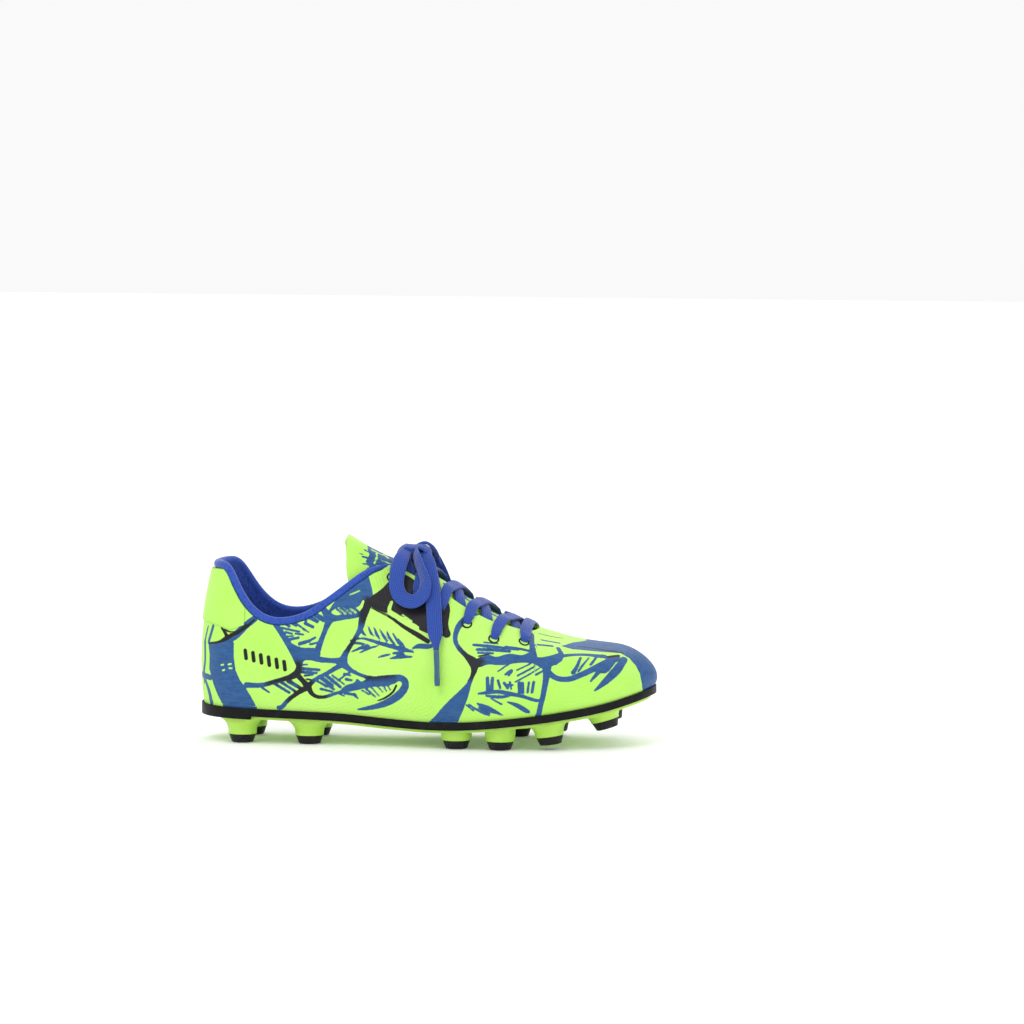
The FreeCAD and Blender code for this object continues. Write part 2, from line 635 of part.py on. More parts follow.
def into_eyelet(side, row, heading):
    """Cross-sections of a lace that narrows, bends over the eyelet's rim and goes in."""
    place, normal = eyelet_places[side, row]
    forward = heading - normal * heading.dot(normal)
    forward.normalize()
    across = forward.cross(normal)
    over = -LACE_DEPTH["over"]
    return [bar(place - forward * 3.4 + normal * over, across, normal, 5.0),
            bar(place - forward * 1.6 + normal * over, across, normal, 3.8),
            bar(place - forward * 0.3 + normal * 0.6, across, normal + forward, 3.4, 1.2),
            bar(place - normal * 0.9, across, forward, 3.2, 1.2),
            bar(place - normal * 1.9, across, forward, 3.2, 1.2)]


def crossing_lace(side, row, height, ends_outside=True):
    """A lace from inside the opposite eyelet one row nearer the toe, across to this side."""
    facing = SIDES[side][1]
    other = "medial" if side == "lateral" else "lateral"
    start = eyelet_places[other, row - 1][0] - Vector(START_SHIFT, 0, 0)
    goal = eyelet_places[side, row][0]
    run = Vector(goal.x - start.x, goal.y - start.y, 0)
    heading = Vector(run)
    heading.normalize()

    def depth_at(x, y):
        e, half = (y - throat_middle(x)) * facing, throat_half(x)
        if not ends_outside and e > 0:
            return lace_depth(-e, half, height)
        return lace_depth(e, half, height)

    steps = 34
    stop = run.Length - (6.0 if ends_outside else 1.0)
    sections = []
    for i in range(steps + 1):
        d = 1.0 + (stop - 1.0) * i / steps
        x, y = start.x + heading.x * d, start.y + heading.y * d
        sections.append(bar(*lace_section(x, y, heading, depth_at)))
    if ends_outside:
        normal = eyelet_places[side, row][1]
        slope = -(heading.x * normal.x + heading.y * normal.y) / normal.z
        sections += into_eyelet(side, row, Vector(heading.x, heading.y, slope))
    return skin_of(sections)


for row in range(2, 7):
    for side in SIDES:
        lace = crossing_lace(side, row, "high" if side == "lateral" else "low", row < 6)
        save(f"lace_{row}_{side}", lace)

# The straight lace at the toe end, into both front eyelets
left, right = eyelet_places["lateral", 1][0], eyelet_places["medial", 1][0]
across_shoe = Vector(right.x - left.x, right.y - left.y, 0)
heading = Vector(across_shoe)
heading.normalize()
sections = []
for i in range(23):
    d = 5.0 + (across_shoe.Length - 10.0) * i / 22
    x, y = left.x + heading.x * d, left.y + heading.y * d
    sections.append(bar(*lace_section(x, y, heading, lambda px, py: LACE_DEPTH["over"])))
tails = {}
for side, way in (("lateral", -1), ("medial", 1)):
    normal = eyelet_places[side, 1][1]
    slope = -(heading.x * way * normal.x + heading.y * way * normal.y) / normal.z
    tails[side] = into_eyelet(side, 1, Vector(heading.x * way, heading.y * way, slope))


def mirrored(section):
    """The same cross-section walked the other way round, to match a lace's first part."""
    a, b, c, d = [v.Point for v in section.Vertexes][:4]
    return Part.makePolygon([b, a, d, c, b])


sections = [mirrored(w) for w in reversed(tails["lateral"])] + sections + tails["medial"]
save("lace_1_front", skin_of(sections))

# The two ends come out of the top eyelets and run over the eyestays to the knot


def ellipsoid(centre, radii):
    squash = FreeCAD.Matrix()
    squash.scale(*radii)
    ball = Part.makeSphere(1.0).transformGeometry(squash)
    ball.translate(Vector(*centre))
    return ball


save("lace_knot", ellipsoid(KNOT_CENTRE, KNOT_RADII))
grown_knot = ellipsoid(KNOT_CENTRE, [r + GAP for r in KNOT_RADII])
for side in SIDES:
    start = eyelet_places[side, 6][0]
    run = Vector(KNOT_CENTRE[0] - 2.0 - start.x, KNOT_CENTRE[1] - start.y, 0)
    heading = Vector(run)
    heading.normalize()
    normal = eyelet_places[side, 6][1]
    slope = (heading.x * normal.x + heading.y * normal.y) / normal.z
    sections = [mirrored(w) for w in
                reversed(into_eyelet(side, 6, Vector(-heading.x, -heading.y, slope)))]
    for i in range(9):
        d = 5.0 + (run.Length - 5.0 - 2.0) * i / 8
        lift = LACE_DEPTH["over"] - TAIL_RISE * (i / 8) ** 2
        x, y = start.x + heading.x * d, start.y + heading.y * d
        sections.append(bar(*lace_section(x, y, heading, lambda px, py: lift)))
    save(f"lace_tail_{side}", one_solid(skin_of(sections).cut(grown_knot)))

# Bow: two loops and two free ends, drawn as round tubes along their middle lines


def cord_tube(points, radius=CORD_R):
    """A round tube through points."""
    path = spline(points)
    ring = Part.Wire([Part.makeCircle(radius, Vector(*points[0]),
                                      path.tangent(path.FirstParameter)[0])])
    return Part.Wire([path.toShape()]).makePipeShell([ring], True, False)


for side in SIDES:
    save(f"bow_loop_{side}", cord_tube(BOW_LOOP[side]))
    save(f"bow_end_{side}", cord_tube(BOW_END[side]))
    tip, low = Vector(*BOW_END[side][-1]), Vector(*AGLET_END[side])
    way = low - tip
    way.normalize()
    aglet = Part.makeCylinder(AGLET_R, AGLET_LENGTH, tip + way * 0.5, way)
    ends = [e for e in aglet.Edges if e.isClosed() and (e.CenterOfMass - tip).Length > 5]
    save(f"aglet_{side}", aglet.makeFillet(0.5, ends))
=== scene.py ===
# %% [markdown]
# # A youth soccer cleat, piece by piece
# The shoe is a printed synthetic upper stretched over a foot form, a padded blue lining, a foam
# tongue, flat woven laces and a moulded sole with studs. The solid model gives the hard parts and
# the place of every soft one. This lesson dresses it: soft pieces are modelled again as thin,
# padded or woven things, and every surface gets a material made of nodes.

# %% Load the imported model
import bpy, math
import numpy as np
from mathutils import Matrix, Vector


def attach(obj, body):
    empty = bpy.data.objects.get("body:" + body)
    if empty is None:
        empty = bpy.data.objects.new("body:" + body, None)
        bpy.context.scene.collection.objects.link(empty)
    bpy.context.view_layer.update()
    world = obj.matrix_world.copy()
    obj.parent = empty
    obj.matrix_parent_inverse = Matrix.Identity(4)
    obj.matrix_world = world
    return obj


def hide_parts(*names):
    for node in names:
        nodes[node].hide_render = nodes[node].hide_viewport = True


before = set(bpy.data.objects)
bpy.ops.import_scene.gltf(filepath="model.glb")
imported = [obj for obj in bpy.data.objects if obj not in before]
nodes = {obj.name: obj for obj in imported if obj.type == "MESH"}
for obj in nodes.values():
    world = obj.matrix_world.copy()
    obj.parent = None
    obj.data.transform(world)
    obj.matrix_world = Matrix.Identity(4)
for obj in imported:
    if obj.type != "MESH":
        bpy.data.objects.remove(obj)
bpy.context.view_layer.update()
MM = 0.001
scene = bpy.context.scene

# %% [markdown]
# ## The foot form
# A shoe's skin takes its shape from a last, a solid foot form. The same form is used here for
# every layer, so that the upper, its padding and the tongue nest like the real ones. It could be
# sculpted by hand, but a form known by a few curves (the feather line where upper meets sole, the
# ridge over the instep, and how square the section is) keeps all layers exactly parallel.

# %% Curves through a few measured stations (mm)
HEEL_TIP, TOE_TIP = (-113.9, 3.0), (114.2, 7.5)
HALF_LENGTH = 114.0
SPINE_END, HEEL_REACH, TOE_REACH = 75.0, 15.0, 18.0    # past its end the ridge bends over
HOLLOW = 2.3 * 6.75                                    # how far the wall is drawn in
OUTLINE = [(-109, -13.5, 19), (-100, -22, 27.5), (-86, -26, 31), (-65, -27, 30.5),
           (-40, -27.5, 27), (-15, -30.5, 25.5), (10, -36.5, 29.5), (35, -40.3, 36),
           (55, -40.4, 40.2), (72, -37, 40), (87, -30.5, 36.5), (99, -21.5, 30.5),
           (108, -11, 23)]
FEATHER_Z = [(-116, 18.1), (-90, 17.6), (-65, 16.8), (-40, 15.8), (-15, 13.9), (3, 13.1),
             (24, 13.6), (49, 16), (73, 19.1), (97, 23.4), (110, 27), (116, 28.9)]
RIDGE_Z = [(-90, 124), (-75, 121), (-55, 115), (-39.5, 108.6), (-30, 103), (-17, 97), (-6, 93),
           (4, 88.5), (11, 84.3), (18, 79.3), (29, 72.7), (44, 64.8), (56, 58.6), (67, 55),
           (76, 52.6), (86, 51), (92, 50.2)]
RIDGE_Y = [(-90, 3), (-40, 1), (0, 0), (40, 1), (92, 7)]
SQUARENESS = [(-116, 2.0), (-80, 2.05), (-45, 2.3), (-15, 2.25), (30, 2.1), (60, 2.1),
              (80, 2.2), (116, 2.2)]


def smooth(table):
    """A smooth function through a table of (x, value)."""
    xs, ys = np.array(table, float).T
    span = np.diff(xs)
    rise = np.diff(ys) / span
    slope = np.concatenate([rise[:1], (rise[:-1] * span[1:] + rise[1:] * span[:-1])
                            / (span[:-1] + span[1:]), rise[-1:]])

    def value(x):
        x = np.asarray(x, float)
        i = np.clip(np.searchsorted(xs, x, side="right") - 1, 0, len(xs) - 2)
        w = xs[i + 1] - xs[i]
        t = (x - xs[i]) / w
        mid = (ys[i] * (1 + 2 * t) * (1 - t) ** 2 + slope[i] * w * t * (1 - t) ** 2
               + ys[i + 1] * t * t * (3 - 2 * t) + slope[i + 1] * w * t * t * (t - 1))
        mid = np.where(x < xs[0], ys[0] + slope[0] * (x - xs[0]), mid)
        return np.where(x > xs[-1], ys[-1] + slope[-1] * (x - xs[-1]), mid)

    return value


feather_z, ridge_z, ridge_y = smooth(FEATHER_Z), smooth(RIDGE_Z), smooth(RIDGE_Y)
squareness = smooth(SQUARENESS)
print("feather line at the ball:", round(float(feather_z(49)), 1), "mm up")

# %% The feather line in plan, one smooth curve a side


def far_along(p):
    """How far along a line of points each one is, from its start (mm)."""
    return np.concatenate([[0], np.linalg.norm(np.diff(p, axis=0), axis=1).cumsum()])


def side_line(column, facing):
    """Plan position and direction along one side, from heel (0) to toe (1)."""
    p = np.array([HEEL_TIP] + [(row[0], row[column]) for row in OUTLINE] + [TOE_TIP], float)
    far = far_along(p)
    t, n = far / far[-1], len(p)
    h = np.diff(t)
    matrix, right = np.eye(n), np.zeros((n, 2))
    right[0], right[-1] = (0, facing * far[-1]), (0, -facing * far[-1])
    for i in range(1, n - 1):
        matrix[i, i - 1:i + 2] = 1 / h[i - 1], 2 / h[i - 1] + 2 / h[i], 1 / h[i]
        right[i] = 3 * ((p[i] - p[i - 1]) / h[i - 1] ** 2 + (p[i + 1] - p[i]) / h[i] ** 2)
    m = np.linalg.solve(matrix, right)

    def at(s):
        s = np.clip(np.asarray(s, float), 0, 1)
        i = np.clip(np.searchsorted(t, s, side="right") - 1, 0, n - 2)
        w = h[i][..., None]
        u = ((s - t[i]) / h[i])[..., None]
        place = (p[i] * (1 + 2 * u) * (1 - u) ** 2 + m[i] * w * u * (1 - u) ** 2
                 + p[i + 1] * u * u * (3 - 2 * u) + m[i + 1] * w * u * u * (u - 1))
        way = (6 * u * (u - 1) * (p[i] - p[i + 1]) / w + m[i] * (1 - u) * (1 - 3 * u)
               + m[i + 1] * u * (3 * u - 2))
        return place, way / np.linalg.norm(way, axis=-1, keepdims=True)

    return at


LINES = {"lateral": (side_line(1, -1), -1), "medial": (side_line(2, 1), 1)}


def feather(side, s, outset=0.0):
    """Plan points of the feather line, moved outwards by outset (mm)."""
    line, facing = LINES[side]
    place, way = line(s)
    return place + np.stack([-way[..., 1], way[..., 0]], -1) * facing * outset


def wall(side, s, angle, depth=0.0):
    """Points of the form (mm): s from heel to toe, angle from the feather line to the ridge."""
    s, angle, depth = np.broadcast_arrays(np.asarray(s, float), angle, depth)
    middle = (LINES["lateral"][0](s)[0][..., 0] + LINES["medial"][0](s)[0][..., 0]) / 2
    base = feather(side, s, -depth[..., None])
    spine = np.clip(middle, -SPINE_END, SPINE_END)
    over = middle - spine
    reach = np.where(over > 0, TOE_REACH, HEEL_REACH)
    top_x = spine + np.sign(over) * reach * (1 - np.exp(-np.abs(over) / reach))
    low, n = feather_z(base[..., 0]), squareness(middle)
    c, k = np.abs(np.cos(np.radians(angle))), np.sin(np.radians(angle))
    size = (c ** n + k ** n) ** (1 / n)
    inward, up = 1 - c / size, k / size
    across = np.stack([top_x - base[..., 0], ridge_y(top_x) - base[..., 1]], -1)
    length = np.maximum(np.linalg.norm(across, axis=-1), 1e-6)
    plan = base + across * (inward - HOLLOW * up * (1 - up) ** 2 / length)[..., None]
    return np.concatenate([plan, (low + (ridge_z(top_x) - depth - low) * up)[..., None]], -1)


print("ridge over the instep:", wall("lateral", 0.5, 90.0).round(1))

# %% Find a place on the form from its position seen from the side, or from above
STEP_S, STEP_ANGLE = 1e-4, 0.01      # small steps that measure how the form slopes


def seek(side, a, b, axes, s, angle, depth):
    """s, angle, point and outward normal where the form has coordinates a, b on two axes."""
    a, b, depth = np.broadcast_arrays(np.asarray(a, float), b, depth)
    s, angle = s + np.zeros_like(a), angle + np.zeros_like(a)
    for _ in range(13):
        here = wall(side, s, angle, depth)
        by_s = (wall(side, s + STEP_S, angle, depth) - here) / STEP_S
        by_a = (wall(side, s, angle + STEP_ANGLE, depth) - here) / STEP_ANGLE
        da, db = a - here[..., axes[0]], b - here[..., axes[1]]
        sa, sb, aa, ab = (by_s[..., axes[0]], by_s[..., axes[1]], by_a[..., axes[0]],
                          by_a[..., axes[1]])
        det = sa * ab - aa * sb
        det = np.where(np.abs(det) < 1e-6, 1e-6, det)
        s = np.clip(s + np.clip((da * ab - aa * db) / det, -0.05, 0.05), 0.001, 0.998)
        angle = np.clip(angle + np.clip((sa * db - da * sb) / det, -8, 8), 1.0, 89.9)
    normal = np.cross(by_s, by_a)
    normal /= np.linalg.norm(normal, axis=-1, keepdims=True)
    normal *= np.where(normal[..., 2:3] < 0, -1, 1)
    return s, angle, wall(side, s, angle, depth), normal


def first_guess(x):
    return (np.asarray(x, float) + HALF_LENGTH) / (2 * HALF_LENGTH)


def seen(side, x, z, depth=0.0):
    """The same four things for the place at (x, z), seen from one side."""
    return seek(side, x, z, (0, 2), first_guess(x), 45.0, depth)


def above(x, y, depth=0.0):
    """The form's point and normal straight above (x, y)."""
    x, y, depth = np.broadcast_arrays(np.asarray(x, float), y, depth)
    one = seek("lateral", x, y, (0, 1), first_guess(x), 70.0, depth)
    two = seek("medial", x, y, (0, 1), first_guess(x), 70.0, depth)
    pick = (y > 0)[..., None]
    return np.where(pick, two[2], one[2]), np.where(pick, two[3], one[3])


print("a place on the ball of the foot:", seen("lateral", 40.0, 30.0)[2].round(1))

# %% [markdown]
# ## Skins on the form
# Sheet material follows the form and stops at an edge: the collar, the throat or the sole. Each
# skin starts as a flat grid, one for each side, whose columns are then laid up the wall and cut
# to length there, as a pattern piece is stretched over the last. The two sides are sewn at heel
# and toe, turned outwards, and given their real thickness with Solidify.

# %% Small helpers for meshes


def alone(obj):
    """Select one object only."""
    bpy.ops.object.select_all(action="DESELECT")
    obj.hide_viewport = False
    obj.select_set(True)
    bpy.context.view_layer.objects.active = obj
    return obj


def points_of(obj):
    """The mesh's points in mm."""
    co = np.empty(len(obj.data.vertices) * 3)
    obj.data.vertices.foreach_get("co", co)
    return co.reshape(-1, 3) / MM


def put_points(obj, co):
    """Move the mesh's points to these places (mm)."""
    obj.data.vertices.foreach_set("co", (np.asarray(co, float) * MM).ravel())
    obj.data.update()


def added(operator, **settings):
    """A new object, made by one of the primitive operators."""
    bpy.ops.object.select_all(action="DESELECT")
    operator(**settings)
    return bpy.context.active_object


def new_grid(name, across, along):
    """A flat grid with that many points across and along, ready to be laid out."""
    grid = added(bpy.ops.mesh.primitive_grid_add, x_subdivisions=across - 1,
                 y_subdivisions=along - 1, size=0.1)
    grid.name = grid.data.name = name
    return grid


def joined(name, *parts):
    """Several meshes made one, under a new name."""
    alone(parts[0])
    for part in parts[1:]:
        part.select_set(True)
    bpy.ops.object.join()
    parts[0].name = parts[0].data.name = name
    return parts[0]


def edited(obj, operator, **settings):
    """Run one edit-mode operator on the whole mesh."""
    alone(obj)
    bpy.ops.object.mode_set(mode="EDIT")
    bpy.ops.mesh.select_all(action="SELECT")
    operator(**settings)
    bpy.ops.object.mode_set(mode="OBJECT")


def sewn(obj, gap=0.02):
    """Merge points that meet."""
    edited(obj, bpy.ops.mesh.remove_doubles, threshold=gap * MM)


def turned_out(obj, flip=False):
    """Turn the faces to agree, outwards unless flip is set."""
    edited(obj, bpy.ops.mesh.normals_make_consistent, inside=flip)


def applied(obj, kind, **settings):
    """Add a modifier, set it and apply it."""
    alone(obj)
    modifier = obj.modifiers.new(kind.title(), kind)
    for key, value in settings.items():
        setattr(modifier, key, value)
    bpy.ops.object.modifier_apply(modifier=modifier.name)


def softened(obj, width, segments, degrees=50):
    """Round the edges that are sharper than an angle (width in mm)."""
    applied(obj, "BEVEL", width=width * MM, segments=segments, limit_method="ANGLE",
            angle_limit=math.radians(degrees))


def faces_out(obj):
    """Share of the shell's faces that look away from the shoe's middle line."""
    co, out = points_of(obj), 0
    for face in obj.data.polygons:
        middle = co[list(face.vertices)].mean(0)
        core = np.array([np.clip(middle[0], -70, 70), 2.0, 40.0])
        out += np.dot(face.normal, middle - core) > 0
    return out / len(obj.data.polygons)


def smooth_shaded(obj, degrees=40):
    """Smooth shading, except over edges sharper than an angle."""
    alone(obj)
    bpy.ops.object.shade_smooth_by_angle(angle=math.radians(degrees))


print("helpers ready")

# %% Where the upper's edges are (mm, seen from the side and from above)
COLLAR = [(-119, 89.5), (-109, 90.5), (-103.5, 91), (-99.4, 90.3), (-96, 86.8), (-93.3, 82),
          (-88.7, 74.4), (-82.2, 67.6), (-77.4, 65.1), (-71.6, 64.2), (-64.3, 65.2),
          (-56.5, 68.2), (-48.8, 73.6), (-39, 81), (-32.3, 86), (-26, 90), (-21, 92.4), (-17, 97)]
THROAT = [(-30, 11.6, -1.2), (-17, 12, -1.5), (-2, 13.8, -2.4), (10, 15.2, -2.7),
          (24, 16.8, -2.5), (38, 17.5, -1.7), (50, 13.5, -0.4)]
throat_half = smooth([(x, half) for x, half, middle in THROAT])
throat_middle = smooth([(x, middle) for x, half, middle in THROAT])


def moved_in(table, distance):
    """A curve seen from the side, moved down square to itself."""
    curve = smooth(table)
    x = np.linspace(table[0][0], table[-1][0], 121)
    slope = (curve(x + 0.2) - curve(x - 0.2)) / 0.4
    size = np.sqrt(1 + slope ** 2)
    return smooth(list(zip(x + slope / size * distance, curve(x) - distance / size)))


def in_throat(p, margin=0.0):
    """True inside the lace opening: straight sides and a rounded toe end."""
    x, y = p[..., 0], p[..., 1]
    nose = np.sqrt(np.clip(1 - (np.clip(x - 42, 0, None) / (15.0 - margin)) ** 2, 0, 1))
    half = np.where(x > 42, throat_half(42) * nose ** 0.8, throat_half(x)) - margin
    return (np.abs(y - throat_middle(np.clip(x, -30, 50))) < half) & (x < 57 - margin) & (x > -30)


upper_edge, roll_line = moved_in(COLLAR, 3.9), moved_in(COLLAR, 2.2)


def upper_kept(p):
    """True where the upper has material: below the collar and outside the lace opening."""
    behind = p[..., 0] < -17
    return np.where(behind, p[..., 2] < upper_edge(p[..., 0]), True) & ~in_throat(p)


print("collar height at the ankle:", round(float(upper_edge(-72)), 1))

# %% Lay a pair of grids up the wall


def skin(name, depth, kept, columns, rows, s_range=(0.0, 1.0), low=0.0, skirt=0.0):
    """A two-sided skin at a depth below the form, from its lower edge to where kept ends."""
    halves = []
    s = np.linspace(*s_range, columns)
    dense = np.linspace(0, 90, 361)
    for side in LINES:
        first = np.broadcast_to(low(side, s) if callable(low) else low, s.shape).astype(float)
        inside = kept(wall(side, s[:, None], dense[None, :], depth)) | (dense < first[:, None] + 2)
        ends = np.where(inside.all(1), 90.0, dense[np.argmin(inside, 1)])
        a, b = np.where(inside.all(1), 90.0, ends - 0.25), ends.copy()
        for _ in range(12):
            middle = (a + b) / 2
            good = kept(wall(side, s, middle, depth))
            a, b = np.where(good, middle, a), np.where(good, b, middle)
        steps = first[:, None] + (a - first)[:, None] * np.linspace(0, 1, 240)
        run = wall(side, s[:, None], steps, depth)
        far = np.concatenate([np.zeros((columns, 1)),
                              np.linalg.norm(np.diff(run, axis=1), axis=2).cumsum(1)], 1)
        goal = np.linspace(0, 1, rows)
        angle = np.stack([np.interp(goal * f[-1], f, g) for f, g in zip(far, steps)])
        p = wall(side, s[:, None], angle, depth)
        if skirt:
            hem = p[:, :1].copy()
            hem[..., 2] -= skirt
            p = np.concatenate([hem, p], 1)
        half = new_grid(f"{name}_{side}", columns, p.shape[1])
        put_points(half, p.transpose(1, 0, 2).reshape(-1, 3))
        halves.append(half)
    piece = joined(name, *halves)
    sewn(piece)
    turned_out(piece)
    if faces_out(piece) < 0.5:
        turned_out(piece, flip=True)
    return piece


def thickened(obj, thickness, inner_slot=0):
    """Real thickness, all of it inwards. Inner faces can take the next material."""
    applied(obj, "SOLIDIFY", thickness=thickness * MM, offset=-1, use_rim=True,
            material_offset=inner_slot)


COLUMNS, ROWS = 215, 104      # a point every 0.6 mm or so, fine enough for thin ink
SKIRT = 1.2                   # mm of the upper that goes down behind the sole's rim
quarters = skin("printed_quarters", 0.0, upper_kept, COLUMNS, ROWS, (0.0, 0.5), skirt=SKIRT)
vamp = skin("printed_vamp", 0.0, upper_kept, COLUMNS, ROWS, (0.5, 1.0), skirt=SKIRT)
for piece in (quarters, vamp):
    print(piece.name, len(piece.data.polygons), "faces, share facing out",
          round(faces_out(piece), 3))

# %% [markdown]
# ## The print
# The upper is printed flat before it is cut: green cells between hand-drawn blue lines that
# darken at their meeting points, with ferns and hatching inside the cells. A picture texture
# would do it, but here each brush stroke is a short list of places on the side of the shoe, with
# its width. What is stored on the mesh is the distance to the nearest edge of the ink, and the
# material turns that distance into a slightly ragged edge. So the ink stays sharp at any zoom.

# %% Tools for drawing on the form
REACH = 14.0      # mm: how far from a line its distance is kept
FAR = -REACH


def rounded(p, closed=False, steps=4):
    """A smooth line through points of any number of values (Catmull-Rom)."""
    p = np.asarray(p, float)
    if len(p) < 3:
        t = np.linspace(0, 1, steps * 2)[:, None]
        return p[0] * (1 - t) + p[-1] * t
    ring = np.vstack([p[-1:], p, p[:2]]) if closed else np.vstack([2 * p[0] - p[1], p,
                                                                   2 * p[-1] - p[-2]])
    t = np.linspace(0, 1, steps, endpoint=False)[:, None]
    out = []
    for a, b, c, d in zip(ring, ring[1:], ring[2:], ring[3:]):
        out.append(0.5 * (2 * b + (c - a) * t + (2 * a - 5 * b + 4 * c - d) * t ** 2
                          + (3 * b - a - 3 * c + d) * t ** 3))
    return np.vstack(out + ([] if closed else [p[-1:]]))


def distance_to(line, half_width, co, reach):
    """How far each point is inside a drawn line: positive in the ink, in mm."""
    value = np.full(len(co), FAR)
    near = np.where(((co > line.min(0) - reach) & (co < line.max(0) + reach)).all(1))[0]
    q = co[near]
    best = np.full(len(near), FAR)
    for a, b, wa, wb in zip(line, line[1:], half_width, half_width[1:]):
        ab = b - a
        t = np.clip(((q - a) @ ab) / max(ab @ ab, 1e-9), 0, 1)
        gap = np.linalg.norm(q - a - t[:, None] * ab, axis=1)
        best = np.maximum(best, wa + (wb - wa) * t - gap)
    value[near] = best
    return value


def inside(polygon, x, z):
    """Which points are inside a closed line seen from the side."""
    hit = np.zeros(len(x), bool)
    for (xa, za), (xb, zb) in zip(polygon, np.roll(polygon, -1, 0)):
        crossing = (za > z) != (zb > z)
        if za != zb:
            hit ^= crossing & (x < (xb - xa) * (z - za) / (zb - za) + xa)
    return hit


class Print:
    """Ink on one piece: each layer keeps the distance to its nearest edge at every point."""

    def __init__(self, obj, depth=0.0):
        self.obj, self.co, self.depth, self.layers = obj, points_of(obj), depth, {}
        self.side = {"lateral": self.co[:, 1] < ridge_y(self.co[:, 0]) + 0.01,
                     "medial": self.co[:, 1] > ridge_y(self.co[:, 0]) - 0.01}

    def add(self, layer, value):
        field = self.layers.setdefault(layer, np.full(len(self.co), FAR))
        field[:] = np.maximum(field, value)

    def stroke(self, layer, points, sides=LINES, reach=3.0):
        """points: (x, z, width) seen from the side."""
        p = rounded(points)
        for side in sides:
            line = seen(side, p[:, 0], p[:, 1], self.depth)[2]
            self.add(layer, distance_to(line, np.abs(p[:, 2]) / 2, self.co, reach))

    def shape(self, layer, points, soft=True):
        """A filled shape: points (x, z) round its edge."""
        p = rounded(points, closed=True) if soft else np.asarray(points, float)
        ring = np.vstack([p, p[:1]])
        if not soft:
            ring = np.vstack([a + (b - a) * t for a, b in zip(ring, ring[1:])
                              for t in np.linspace(0, 1, 6)[:, None]])
        for side in LINES:
            line = seen(side, ring[:, 0], ring[:, 1], self.depth)[2]
            edge = -distance_to(line, np.zeros(len(line)), self.co, 60.0)
            at = self.side[side] & inside(p, self.co[:, 0], self.co[:, 2])
            near = self.side[side] | (edge < 3)
            self.add(layer, np.where(at, edge, np.where(near, -np.minimum(edge, -FAR), FAR)))

    def save(self):
        for name, field in self.layers.items():
            store = self.obj.data.attributes.new(name, "FLOAT", "POINT")
            store.data.foreach_set("value", np.clip(field, FAR, REACH).astype(np.float32))


print("drawing tools ready")

# %% [markdown]
# ### What is printed
# Network lines first (long, wide, reaching far, because the cells between them carry fine rings
# that follow their edges), then filled areas, then hatching and ferns with a thin brush. The
# medial side takes the same drawing mirrored, as such prints usually do.

# %% The network of lines: (x, height, width) in mm
NETWORK = [
    [(-84, 63.5, 3.4), (-89, 59.5, 3.6), (-93, 55.5, 4), (-98, 52, 4)],
    [(-75.5, 64, 3), (-71, 58, 2.8), (-67, 52, 3.2), (-63, 46, 4), (-61, 42, 4.2)],
    [(-61, 42, 3), (-61.2, 38.5, 3.2), (-63, 35.8, 3.6), (-67, 34, 2.6), (-73, 32.2, 2.4),
     (-80, 30.2, 2.4), (-88, 30, 3)],
    [(-62, 36, 3), (-59, 32.6, 2.6), (-56.3, 29.6, 3.6)],
    [(-56.5, 29.6, 3.2), (-62, 26.4, 2.4), (-67, 22.4, 2.3), (-71.5, 17, 2.3)],
    [(-56.3, 29.4, 3.2), (-54.2, 26, 2.2), (-51, 24.6, 2), (-47, 25, 1.8), (-42, 26.8, 1.7),
     (-37, 28.2, 1.6)],
    [(-55.5, 31, 2.6), (-52, 34, 2), (-46, 37.2, 2.1), (-39.5, 41.2, 2.8)],
    [(-61, 44.5, 3), (-55, 44.6, 3), (-50, 43.6, 3), (-44, 43.2, 2.6), (-39, 43, 4)],
    [(-51.5, 48.5, 3.4), (-49.5, 54, 2.6), (-47.4, 59.5, 2.8), (-45.6, 64, 4.2)],
    [(-45.6, 64.2, 4), (-49.5, 69, 3), (-53, 68.5, 2)],
    [(-45.6, 64.2, 4), (-38, 64.8, 2.3), (-31.5, 66, 2.3), (-28, 68.6, 3.2)],
    [(-25.8, 74, 4.4), (-27.4, 69, 4), (-29, 64.5, 4), (-29.8, 60, 3), (-32.2, 55, 2.3),
     (-35.4, 50, 2.4), (-37.8, 45.6, 3.4), (-38.6, 42, 5)],
    [(-38.6, 42, 4.6), (-36, 39.6, 2.8), (-32.6, 37.6, 2), (-28, 35.8, 1.8), (-23, 34.8, 2.2),
     (-18, 34.8, 3.2), (-13, 35.3, 3.4), (-9, 35.4, 3.4), (-6.6, 34, 3.6), (-6.4, 31.2, 4),
     (-8.6, 27.8, 4.2), (-12.4, 24.8, 4), (-17, 22.2, 3.4), (-23, 20.2, 2.6), (-29, 19, 1.5),
     (-31.5, 18.7, .6)],
    [(29.5, 67, 1.6), (24.4, 66, 2.8), (20.6, 62.4, 3.2), (18.8, 58, 2.6), (19, 54, 2.3),
     (21.4, 50.4, 2.5), (25, 47.2, 2.8), (28.6, 44.2, 5), (29.2, 41, 3.4), (28.3, 37.6, 2.2),
     (27, 34.5, 2.6)],
    [(55, 56.5, 3), (56.4, 51.5, 3), (58, 47, 3.6)],
    [(64.5, 44, 6), (65.2, 39, 3.8), (64.9, 34, 3), (64, 28, 2.7), (62.6, 22, 2.7),
     (61.4, 16.5, 2.8)],
    [(66, 39.6, 3.2), (70, 36.8, 3.1), (76, 36.1, 3.1), (82, 38, 3.2), (88, 40.6, 3.6),
     (94, 43.2, 4.2), (98, 44.6, 4)],
]
